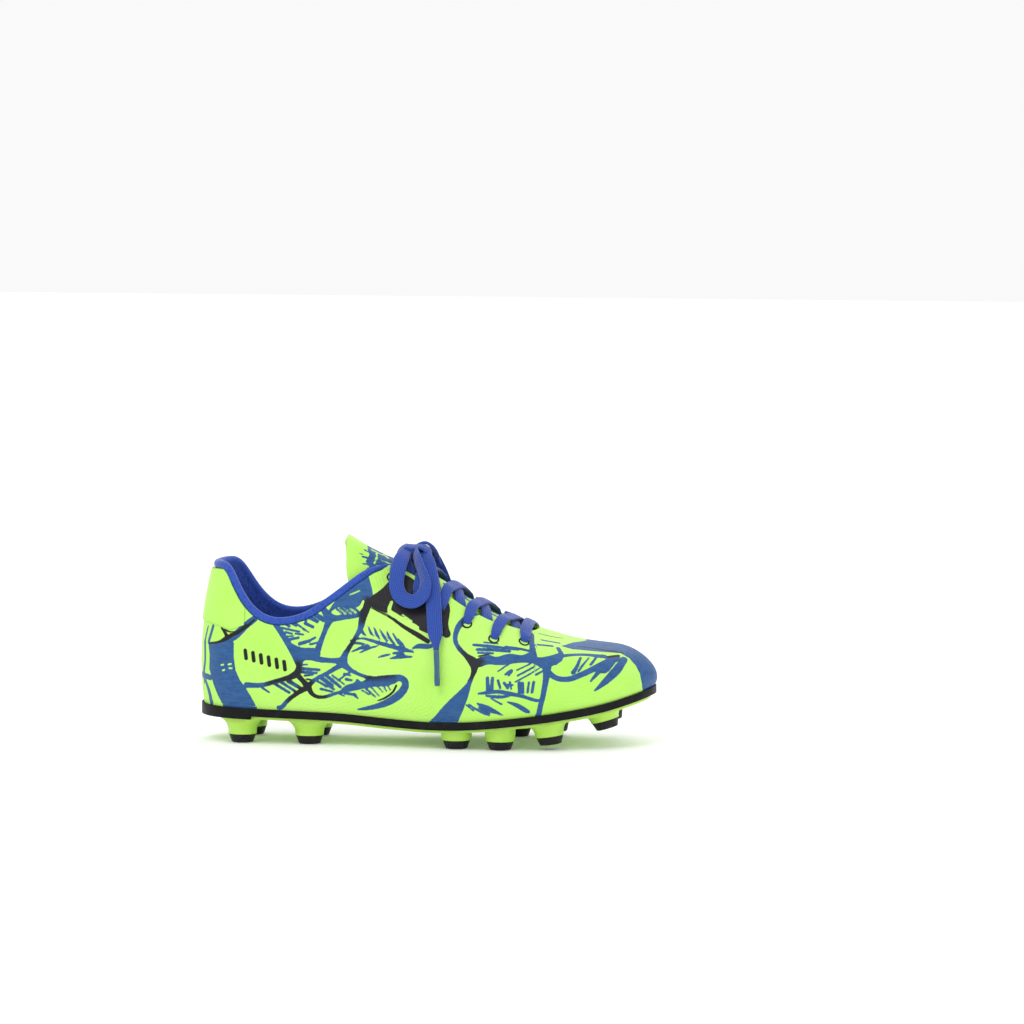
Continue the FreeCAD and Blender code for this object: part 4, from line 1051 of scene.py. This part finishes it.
def frames_along(path, towards):
    """Across and up directions on a line, with up turned towards a direction."""
    way = unit(np.gradient(path, axis=0))
    towards = np.broadcast_to(np.asarray(towards, float), path.shape)
    up = unit(towards - (towards * way).sum(-1, keepdims=True) * way)
    return unit(np.cross(way, up)), up


print("sweeps ready")

# %% [markdown]
# ## Collar roll
# The collar's edge is a rolled strip of knit with a cord in it. It runs from one eyestay round
# the heel to the other, and its flat ends go on as a thin binding along the lace opening.

# %% Collar roll
ROLL_DEPTH, ROLL_GIRTH, BINDING_GIRTH = 2.1, 4.4, 1.5
s_roll = np.concatenate([np.linspace(0.39, 0.0, 90), np.linspace(0.0, 0.39, 90)[1:]])
roll_path = []
for side, part in (("lateral", s_roll[:90]), ("medial", s_roll[90:])):
    p = wall(side, part, angle_where(side, part, ROLL_DEPTH, roll_line), ROLL_DEPTH)
    x = np.linspace(-18.5, -7, 14)
    edge = above(x, throat_middle(x) + LINES[side][1] * (throat_half(x) - 0.3), 0.6)[0]
    p = p[p[:, 0] < -21]
    roll_path.append(np.vstack([edge[::-1], p] if side == "lateral" else [p, edge]))
roll_path = np.vstack(roll_path)
for _ in range(4):
    roll_path[1:-1] = (roll_path[:-2] + 2 * roll_path[1:-1] + roll_path[2:]) / 4
across, up = frames_along(roll_path, roll_path - np.array([-60, 2, 40]))
ends = np.clip(np.minimum(np.arange(len(roll_path)), np.arange(len(roll_path))[::-1]) / 3, 0.25, 1)
girth = BINDING_GIRTH + (ROLL_GIRTH - BINDING_GIRTH) * np.clip((-19 - roll_path[:, 0]) / 10, 0, 1)
girth *= np.sqrt(ends)
roll = swept("collar_edge", roll_path, across, up, girth, girth, around=18, square=1.0)
finished(roll, "shoe", "lining", "collar_roll", finish=collar_cloth)

# %% [markdown]
# ## Tongue
# A foam tongue lies under the laces and stands up behind them. Its skin carries a little of the
# print near the top, and its edges are soft, so the shell gets a wide bevel.

# %% Tongue
TONGUE_DEPTH, TONGUE_THICK = 4.6, 4.4
TONGUE_EDGE = [(-39.5, 92), (-38.3, 84.5), (-34.5, 78.6), (-28, 75.5), (-16, 71), (-2, 66),
               (12, 60), (28, 54.5), (44, 50), (60, 46)]
tongue_line = smooth(TONGUE_EDGE)
top_end = float(seek("lateral", -39.5, 100.0, (0, 2), 0.33, 70.0, TONGUE_DEPTH)[0])
base_end = float(seek("lateral", 60.0, 50.0, (0, 2), 0.77, 70.0, TONGUE_DEPTH)[0])
tongue = skin("foam_tongue", TONGUE_DEPTH, lambda p: np.isfinite(p[..., 2]), 130, 56,
              (top_end, base_end),
              low=lambda side, s: angle_where(side, s, TONGUE_DEPTH, tongue_line))
for name in ("tongue_face", "tongue_lining_cloth"):
    tongue.data.materials.append(bpy.data.materials.new(name))
thickened(tongue, TONGUE_THICK, inner_slot=1)
softened(tongue, 1.5, 4)
smooth_shaded(tongue, 60)
tongue_ink = Print(tongue, TONGUE_DEPTH)
TONGUE_PATCH = [(-29.5, 99), (-28.4, 94.6), (-29.4, 91.6), (-26.4, 88), (-21, 87), (-12, 86),
                (-4, 86), (-4, 92), (-12, 96), (-20, 99)]
TONGUE_INK = [
    [(-31, 97.2, 1), (-28, 95.4, 1.2)], [(-31.4, 94, .9), (-28, 93, 1.1)],
    [(-31, 90.6, .9), (-28, 90.4, 1)], [(-29.4, 88, 1), (-26, 88.4, 1.2)],
    [(-26, 85.6, 1.2), (-22, 87, 1)], [(-33, 95.6, .8), (-31.4, 95, .8)],
    [(10, 80, 3), (16, 76, 2), (22, 73, 3)], [(28, 68, 2), (34, 66, 3), (40, 63, 2)],
]
TONGUE_CLEAR = [
    [(-26.6, 97.6, .7), (-24.6, 94, .9), (-25.4, 90.6, .8)], [(-23, 95.6, .7), (-19, 92.6, 1)],
    [(-22, 92, .8), (-17, 90, .9)], [(-20, 95.2, .7), (-15.4, 93.4, .8)],
    [(-24, 89.4, .7), (-18, 88, .7)],
]
tongue_ink.shape("blue", TONGUE_PATCH)
for line in TONGUE_CLEAR:
    tongue_ink.stroke("clear", line)
tongue_ink.layers["blue"] = np.minimum(tongue_ink.layers["blue"], -tongue_ink.layers["clear"])
for line in TONGUE_INK:
    tongue_ink.stroke("blue", line)
tongue_ink.save()
printed("tongue_face", [("blue", INK_BLUE, INK_DEEP, 1.4)])
cloth("tongue_lining_cloth", CLOTH_BLUE, CLOTH_DEEP, 1100, 0.1)
finished(tongue, "tongue", "plain_upper", "tongue_skin", "tongue_foam", "tongue_lining")

# %% [markdown]
# ## Insole
# A loose foam insole covered in knit lies on the board. It is laid out between the two feather
# lines, thickened, and its rim is rounded.

# %% Insole
s = np.linspace(0.004, 0.996, 130)
left, right = feather("lateral", s, -5.7), feather("medial", s, -5.7)
t = np.linspace(0, 1, 26)[:, None, None]
plan = left[None] * (1 - t) + right[None] * t
edge = np.abs(t[..., 0] * 2 - 1) ** 4
co = np.concatenate([plan, (feather_z(plan[..., 0]) + 7.2 + 0.5 * edge)[..., None]], -1)
insole = new_grid("insole_pad", 130, 26)
put_points(insole, co.reshape(-1, 3))
turned_out(insole)
if insole.data.polygons[1000].normal.z < 0:
    turned_out(insole, flip=True)
thickened(insole, 3.4)
softened(insole, 0.9, 3)
smooth_shaded(insole, 60)
finished(insole, "insole", "sock", "sockliner", finish=sock_cloth)

# %% [markdown]
# ## Laces across the throat
# A flat lace is woven, 6 mm wide where it is pulled tight. Each strand leaves an eyelet from
# below, crosses over the tongue and bends into the next eyelet on the other side. The strands
# are laid on the form a small distance above or below its surface, so they pass over and under
# each other as the solid laces do.

# %% Eyelets and the path of a crossing strand
LACE_WIDTH, LACE_THICK, BOW_WIDTH = 6.0, 1.5, 7.6      # narrower where it is pulled tight
EYELETS = [(52.3, 53.5), (37.7, 55.3), (23.7, 62.6), (10.8, 69.4), (-2.3, 76.6), (-15.1, 84.7)]
FACING = {"lateral": -1, "medial": 1}
OTHER = {"lateral": "medial", "medial": "lateral"}
# depths of a strand outside the upper, crossing on top, crossing below, and behind the upper;
# then how far from the opening's edge it changes between them
OVER, HIGH, LOW, UNDER, SWAP = -1.05, 0.65, 2.6, 3.0, 3.5
eyelet = {}
for side in LINES:
    _, _, place, _ = seen(side, [x for x, z in EYELETS], [z for x, z in EYELETS])
    place, normal = above(place[:, 0], place[:, 1])
    for row in range(6):
        eyelet[side, row + 1] = (place[row], normal[row])


def eased(t):
    """0 to 1 with a soft start and a soft end."""
    t = np.clip(t, 0, 1)
    return t * t * (3 - 2 * t)


def strand_depth(e, half, height):
    """Depth of a crossing strand at e mm from the opening's middle; half is half its width."""
    middle = {"high": HIGH, "low": LOW}[height]
    before = UNDER + (middle - UNDER) * eased((e + half - 0.3) / (SWAP - 0.3))
    late = (middle + (OVER - middle) * eased((e - half + SWAP) / (SWAP - 0.3)) if height == "low"
            else middle + (OVER - middle) * eased((e - 5.5) / (half - 7.0)))
    return np.where(e < 0, before, late)


def laid(start, heading, d, depth_at):
    """Rows of a flat lace laid on the form, at the distances d from a start."""
    x, y = start[0] + heading[0] * d, start[1] + heading[1] * d
    side_of = np.array([-heading[1], heading[0]])
    reach = np.full(x.shape, LACE_WIDTH / 2)
    for _ in range(3):
        a = [x + side_of[0] * reach, y + side_of[1] * reach]
        b = [x - side_of[0] * reach, y - side_of[1] * reach]
        left, right = above(*a, depth_at(*a))[0], above(*b, depth_at(*b))[0]
        reach *= LACE_WIDTH / np.linalg.norm(left - right, axis=1)
    across = unit(right - left)
    up = unit(np.cross(across, np.append(heading, 0.0)))
    up *= np.where(up[:, 2:3] < 0, -1, 1)
    centre = above(x, y, depth_at(x, y))[0]
    return [(*place, LACE_WIDTH, LACE_THICK) for place in zip(centre, across, up)]


def into_eyelet(side, row, heading):
    """The last centimetre: the lace narrows, bends over the hole's edge and goes in."""
    place, normal = eyelet[side, row]
    ahead = unit(heading - normal * (heading @ normal))
    side_of = unit(np.cross(ahead, normal))
    spots = [(-3.4, -OVER, 5.0, 1.4, normal), (-1.8, 0.95, 4.2, 1.4, normal),
             (-0.7, 0.55, 3.6, 1.3, unit(normal * 1.5 + ahead)),
             (0.0, -0.1, 3.3, 1.2, unit(normal + ahead * 2)), (0.15, -0.9, 3.2, 1.2, ahead),
             (0.15, -1.9, 3.2, 1.2, ahead)]
    return [(place + ahead * a + normal * b, side_of, u, w, h) for a, b, w, h, u in spots]


def ribbon_through(name, rows, **options):
    """A ribbon through (centre, across, up, width, thickness) rows, evened out along."""
    c, a, u = (np.array([row[i] for row in rows]) for i in range(3))
    w, h = (np.array([row[i] for row in rows], float) for i in (3, 4))
    for i in range(1, len(a)):
        if a[i] @ a[i - 1] < 0:
            a[i] *= -1
        if u[i] @ u[i - 1] < 0:
            u[i] *= -1
    far = far_along(c)
    goal = np.linspace(0, far[-1], max(12, int(far[-1] / 0.7)))

    def even(v):
        v = v[:, None] if v.ndim == 1 else v
        p = np.stack([np.interp(goal, far, v[:, i]) for i in range(v.shape[1])], 1)
        for _ in range(3):
            p[1:-1] = (p[:-2] + 2 * p[1:-1] + p[2:]) / 4
        return p

    return swept(name, even(c), unit(even(a)), unit(even(u)), even(w)[:, 0], even(h)[:, 0],
                 **options)


print("eyelet 3, lateral:", eyelet["lateral", 3][0].round(1))

# %% The ten crossing strands


def crossing(side, row, height, ends_outside):
    """The strand that ends in one eyelet and starts in the other side's eyelet before it."""
    facing = FACING[side]
    start = eyelet[OTHER[side], row - 1][0] - np.array([2.0, 0, 0])
    run = (eyelet[side, row][0] - start)[:2]
    length = np.linalg.norm(run)
    heading = run / length

    def depth_at(x, y):
        e, half = (y - throat_middle(x)) * facing, throat_half(x)
        if ends_outside:
            return strand_depth(e, half, height)
        return np.where(e > 0, strand_depth(-np.abs(e), half, height),
                        strand_depth(e, half, height))

    d = np.linspace(1.0, length - (6.0 if ends_outside else 1.0), 35)
    rows = laid(start, heading, d, depth_at)
    if ends_outside:
        normal = eyelet[side, row][1]
        rows += into_eyelet(side, row, np.append(heading, -(heading @ normal[:2]) / normal[2]))
    return ribbon_through(f"strand_{row}_{side}", rows)


for row in range(2, 7):
    for side in LINES:
        strand = crossing(side, row, "high" if side == "lateral" else "low", row < 6)
        finished(strand, "shoe", "lace", f"lace_{row}_{side}", finish=lace_braid)

# %% The straight bar at the toe end, and the tails that climb to the knot
left, right = eyelet["lateral", 1][0], eyelet["medial", 1][0]
run = (right - left)[:2]
heading = run / np.linalg.norm(run)
d = np.linspace(5.0, np.linalg.norm(run) - 5.0, 23)
rows = laid(left, heading, d, lambda x, y: np.full(x.shape, OVER))
for side, way in FACING.items():
    normal = eyelet[side, 1][1]
    tail = into_eyelet(side, 1, np.append(heading * way, -way * (heading @ normal[:2])
                                          / normal[2]))
    rows = tail[::-1] + rows if side == "lateral" else rows + tail
finished(ribbon_through("strand_1_front", rows), "shoe", "lace", "lace_1_front",
         finish=lace_braid)

KNOT = np.array([-6.0, -1.0, 95.2])
KNOT_RADII = np.array([6.6, 5.0, 2.5])
for side in LINES:
    start, normal = eyelet[side, 6]
    run = (KNOT - np.array([2.0, 0, 0]) - start)[:2]
    length = np.linalg.norm(run)
    heading = run / length
    part = np.linspace(0, 0.86, 12)
    d = 5.0 + (length - 7.0) * part
    lift = OVER - 2.6 * part ** 2
    rows = into_eyelet(side, 6, np.append(-heading, (heading @ normal[:2]) / normal[2]))[::-1]
    rows += laid(start, heading, d, lambda x, y: np.broadcast_to(lift, x.shape))
    finished(ribbon_through(f"tail_{side}", rows), "shoe", "lace", f"lace_tail_{side}",
             finish=lace_braid)

# %% [markdown]
# ## The bow
# Two loops and two free ends hang from the knot. Each is a free lace of its own length: a
# smooth spline runs close to the middle line of the solid one, and the flat braid follows the
# points read from that spline. The near loop shows its flat side and turns edge-on where it
# climbs back. The ends narrow into their aglets, the plastic tips.

# %% Middle lines of the bow (mm), and splines through them
BOW_LOOP = {
    "lateral": [(-9.4, -6.5, 97), (-10.6, -13, 95.6), (-11.8, -21.6, 88.6), (-12.2, -26.2, 81.4),
                (-9.6, -28.6, 75.4), (-3.2, -29.8, 73), (2, -28.8, 76.4), (2.8, -24.4, 83),
                (-0.8, -18, 89.6), (-3.8, -12.4, 94.6), (-5, -6.6, 96.6)],
    "medial": [(-9.4, 5, 98), (-10.6, 11.5, 97.2), (-11.8, 19.2, 90), (-12.2, 22.4, 81.6),
               (-9.4, 24.6, 75.2), (-3.2, 25.6, 72.6), (1.8, 24.6, 76), (2.2, 20.2, 82.6),
               (-1.4, 15, 89.6), (-4, 9.8, 94.6), (-5, 4.8, 96.8)]}
BOW_END = {
    "lateral": [(-0.6, -5.6, 95.8), (1.4, -10.6, 93), (3.8, -16.6, 87.4), (6.2, -24, 79.4),
                (7.8, -30.6, 68), (9, -35, 58), (10, -38, 50.5)],
    "medial": [(-0.6, 4.6, 96.2), (1.2, 8.6, 93.4), (3.6, 13.4, 87.6), (6.2, 19.4, 79.2),
               (7.8, 25.3, 68), (9, 29, 58), (10, 31, 50.5)]}
AGLET_END = {"lateral": (11, -42, 33), "medial": (11, 34.5, 33)}
AGLET_LENGTH, AGLET_RADII = 18.2, (1.42, 1.22)


def spline_points(points):
    """The points of a smooth line that has these as its control points (mm in, mm out)."""
    curve = bpy.data.curves.new("middle_line", "CURVE")
    curve.dimensions = "3D"
    line = curve.splines.new("NURBS")
    line.points.add(len(points) - 1)
    for spot, p in zip(line.points, points):
        spot.co = (*[v * MM for v in p], 1.0)
    line.order_u = 3
    line.use_endpoint_u = True
    line.resolution_u = 10
    holder = bpy.data.objects.new("middle_line", curve)
    scene.collection.objects.link(holder)
    mesh = bpy.data.meshes.new_from_object(holder)
    p = np.array([v.co for v in mesh.vertices], float) / MM
    bpy.data.objects.remove(holder)
    bpy.data.meshes.remove(mesh)
    bpy.data.curves.remove(curve)
    return p


for side in LINES:
    p = spline_points(BOW_LOOP[side])
    print(side, "loop length", round(float(far_along(p)[-1]), 1), "mm,", len(p), "points")

# %% Loops and free ends
bow = {}
for side, facing in FACING.items():
    p = spline_points(BOW_LOOP[side])
    far = far_along(p)
    share = far / far[-1]
    across, up = frames_along(p, (0, facing, 0.35))
    twist = np.radians(8 + 46 * eased((share - 0.5) / 0.3)) * (-facing)
    turned_across = across * np.cos(twist)[:, None] + up * np.sin(twist)[:, None]
    turned_up = up * np.cos(twist)[:, None] - across * np.sin(twist)[:, None]
    gather = np.clip(np.minimum(share, 1 - share) / 0.13, 0, 1)
    loop = swept(f"bow_loop_{side}_braid", p, turned_across, turned_up,
                 BOW_WIDTH - 2.4 * (1 - eased(gather)), LACE_THICK, around=20)
    finished(loop, "shoe", "lace", f"bow_loop_{side}", finish=lace_braid)
    bow["loop", side] = (loop, far[-1])

for side, facing in FACING.items():
    p = spline_points(BOW_END[side])
    far = far_along(p)
    share = far / far[-1]
    across, up = frames_along(p, (0.15, facing, 0.25))
    low = np.array(AGLET_END[side], float) - p[-1]
    width = BOW_WIDTH - 4.7 * (1 - eased((1 - share) / 0.16))
    width = np.minimum(width, BOW_WIDTH - 2.6 * (1 - eased(share / 0.12)))
    thick = LACE_THICK + 0.9 * eased((share - 0.86) / 0.14)
    end = swept(f"bow_end_{side}_braid", p, across, up, width, thick, around=20)
    finished(end, "shoe", "lace", f"bow_end_{side}", finish=lace_braid)
    # the aglet: a cylinder with bevelled ends, then brought to size with a crimped middle
    head = unit(low)
    aglet = added(bpy.ops.mesh.primitive_cylinder_add, vertices=28, radius=0.1, depth=0.1)
    aglet.name = aglet.data.name = f"aglet_{side}_film"
    edited(aglet, bpy.ops.mesh.subdivide, number_cuts=1)
    softened(aglet, 20, 3, 60)
    q = points_of(aglet) * MM
    along = (q[:, 2] / q[:, 2].max() + 1) / 2
    side_of = unit(np.cross(head, (0, facing, 0.2)))
    front = np.cross(side_of, head)
    squeeze = 1.0 + 0.06 * np.cos(along * 2 * math.pi)
    spot = (p[-1] + head * 0.2 + head[None] * (1 - along)[:, None] * AGLET_LENGTH
            + side_of[None] * (q[:, 0] / 0.1 * AGLET_RADII[0] * squeeze)[:, None]
            + front[None] * (q[:, 1] / 0.1 * AGLET_RADII[1] * squeeze)[:, None])
    put_points(aglet, spot)
    turned_out(aglet)
    smooth_shaded(aglet, 40)
    finished(aglet, "shoe", "aglet", f"aglet_{side}", finish=aglet_film)
    bow["end", side] = (end, far[-1])
print({key: round(float(value[1]), 1) for key, value in bow.items()})

# %% [markdown]
# ### The knot
# What shows of a bow's knot is the lace itself: two turns that arch over the loops from the
# heel side to the toe side, and one across under them. Each is a short flat braid on a spline.

# %% Knot
KNOT_TURNS = [
    (6.6, [(-13.8, -5.4, 90.6), (-14.0, -5.0, 95.4), (-10.8, -4.4, 99.2), (-6.6, -4.0, 98.2),
           (-2.2, -4.2, 99.4), (1.8, -4.8, 96.6), (3.0, -5.8, 91.4)]),
    (7.2, [(-12.6, 4.0, 91.6), (-12.4, 3.4, 97.0), (-8.6, 2.2, 99.0), (-4.8, 1.0, 98.0),
           (-1.4, 0.6, 101.0), (2.4, 1.6, 98.8), (4.4, 3.4, 94.0), (5.6, 5.8, 89.4)]),
    (6.2, [(-8.6, -8.6, 92.4), (-8.4, -6.2, 96.4), (-7.0, -2.0, 97.6), (-5.6, 2.4, 98.2),
           (-4.8, 6.6, 96.2), (-4.6, 8.4, 92.6)])]
wraps = []
for width, points in KNOT_TURNS:
    p = spline_points(points)
    across, up = frames_along(p, p - np.array([-5.0, -1.0, 87.0]))
    fade = np.clip(np.minimum(np.arange(len(p)), np.arange(len(p))[::-1]) / 8, 0.5, 1)
    wraps.append(swept(f"wrap_{len(wraps)}", p, across, up, width * fade, 1.7, around=16))
core = added(bpy.ops.mesh.primitive_ico_sphere_add, subdivisions=4, radius=0.01)
q = unit(points_of(core))
fold = 1 - 0.07 * np.cos(7 * np.arctan2(q[:, 1], q[:, 0]) + 2 * q[:, 2])
put_points(core, KNOT + q * KNOT_RADII * fold[:, None])
core.data.uv_layers[0].name = "UVMap"
loops = np.empty(len(core.data.loops), int)
core.data.loops.foreach_get("vertex_index", loops)
core.data.uv_layers[0].data.foreach_set("uv", (q[loops][:, [1, 0]] * 7).astype(
    np.float32).ravel())
smooth_shaded(core, 70)
knot = joined("knot_braid", wraps[0], *wraps[1:], core)
finished(knot, "shoe", "lace", "lace_knot", finish=lace_braid)

# %% [markdown]
# ## Eyelets
# The eyelets are punched through and pressed, with no metal ring: a low rounded rim round a hole.
# One is modelled from a torus and a dished disc, then copied to its twelve places. The disc is a
# dark sheet standing in for the shade inside the hole, and the rim is painted dark with it: both
# are painted shade.

# %% Eyelets
rims, holes = [], []
for place, normal in eyelet.values():
    rim = added(bpy.ops.mesh.primitive_torus_add, major_radius=0.00245, minor_radius=0.00042,
                major_segments=32, minor_segments=8)
    hole = added(bpy.ops.mesh.primitive_cylinder_add, vertices=32, radius=0.0023, depth=0.0006)
    edited(hole, bpy.ops.mesh.inset, thickness=0.0006, depth=-0.0001)
    side_of = unit(np.cross(normal, (1.0, 0, 0)))
    front = np.cross(side_of, normal)
    for piece, lift in ((rim, 0.02), (hole, -0.24)):
        q = points_of(piece)
        put_points(piece, place + q[:, :1] * front + q[:, 1:2] * side_of
                   + (q[:, 2:3] + lift) * normal)
    rims.append(rim)
    holes.append(hole)
# rims and discs share one near-black finish, painted shade of the holes
rims = joined("eyelet_rims", *rims)
smooth_shaded(rims, 60)
finished(rims, "shoe", "black_rubber", finish=painted_hole_shade)
holes = joined("eyelet_hole_shade", *holes)
finished(holes, "shoe", "black_rubber", finish=painted_hole_shade)

# %% [markdown]
# ## Sole and hidden parts
# The rim, the plate with its stud bases, and the screwed-on tips are moulded and hard, so the
# solid model's own shapes stay. Moulded edges are never sharp: a small bevel modifier rounds
# them. The stiffeners and the board are inside, with a plain fibre finish.

# %% Moulded parts keep their shape and get soft edges
SOLID_FINISH = {"rim": (black_rubber, 0.5), "outsole_plate": (green_plastic, 0.4),
                "lasting_board": (board_fibre, 0), "heel_counter": (stiff_fibre, 0),
                "toe_puff": (stiff_fibre, 0)}
for name in nodes:
    if name.startswith("tip_"):
        SOLID_FINISH[name] = (tip_rubber, 0.35)
for name, (finish, edge) in SOLID_FINISH.items():
    part = nodes[name]
    part.data.materials.clear()
    part.data.materials.append(finish)
    weld = part.modifiers.new("Weld", "WELD")
    weld.merge_threshold = 0.00001
    if edge:
        bevel = part.modifiers.new("Bevel", "BEVEL")
        bevel.width, bevel.segments, bevel.limit_method = edge * MM, 2, "ANGLE"
        bevel.angle_limit = math.radians(40)
        bevel.harden_normals = False
    for face in part.data.polygons:
        face.use_smooth = True
    smooth_shaded(part, 35)
print("solid parts dressed:", len(SOLID_FINISH))

# %% [markdown]
# ## Floor, light and camera
# A flat white studio floor that glows faintly, painted light that lifts its shadows, three large
# soft lights, and a long lens a little above the ground, so the shoe is seen almost square from
# its outer side.

# %% Studio
floor = added(bpy.ops.mesh.primitive_plane_add, size=6.0, location=(0, 0, -0.0002))
floor.name = "studio_floor"
# the paper's emission is painted light: the floor glows faintly and its shadows are lifted
paper = Finish("studio_paper_glow", roughness=0.9, emission_strength=0.07)
paper.relief(paper.noise(300, 2), 0.02)
floor.data.materials.append(paper.done(paper.mix(paper.noise(3, 2), rgb(252, 252, 252),
                                                 rgb(255, 255, 255))))
world = bpy.data.worlds.new("studio_air")
scene.world = world
world.use_nodes = True
world.node_tree.nodes["Background"].inputs["Color"].default_value = rgb(255, 255, 255)
world.node_tree.nodes["Background"].inputs["Strength"].default_value = 0.95


def soft_light(name, place, aim, size, power):
    lamp = bpy.data.lights.new(name, "AREA")
    lamp.shape, lamp.size, lamp.energy = "DISK", size, power
    holder = bpy.data.objects.new(name, lamp)
    scene.collection.objects.link(holder)
    holder.location = place
    holder.rotation_euler = (Vector(aim) - Vector(place)).to_track_quat("-Z", "Y").to_euler()


soft_light("key", (-0.5, -1.1, 1.5), (0, 0, 0.05), 1.0, 9)
soft_light("fill", (1.3, -0.9, 0.8), (0, 0, 0.05), 1.0, 2)
soft_light("back", (0.2, 1.3, 1.4), (0, 0, 0.05), 1.2, 7)
turn, rise = math.radians(7.5), math.radians(5.5)
look = Vector((-math.sin(turn) * math.cos(rise), math.cos(turn) * math.cos(rise),
               -math.sin(rise)))
lens = bpy.data.cameras.new("camera")
lens.lens, lens.sensor_width = 348.2, 36
camera = bpy.data.objects.new("camera", lens)
scene.collection.objects.link(camera)
aim = Vector((0.0410, 0.0166, 0.1149))
CAMERA_AWAY = 5.0
camera.location = aim - look * CAMERA_AWAY
camera.rotation_euler = look.to_track_quat("-Z", "Y").to_euler()
scene.camera = camera
scene.view_settings.view_transform = "Standard"
print("camera at", [round(v, 3) for v in camera.location])
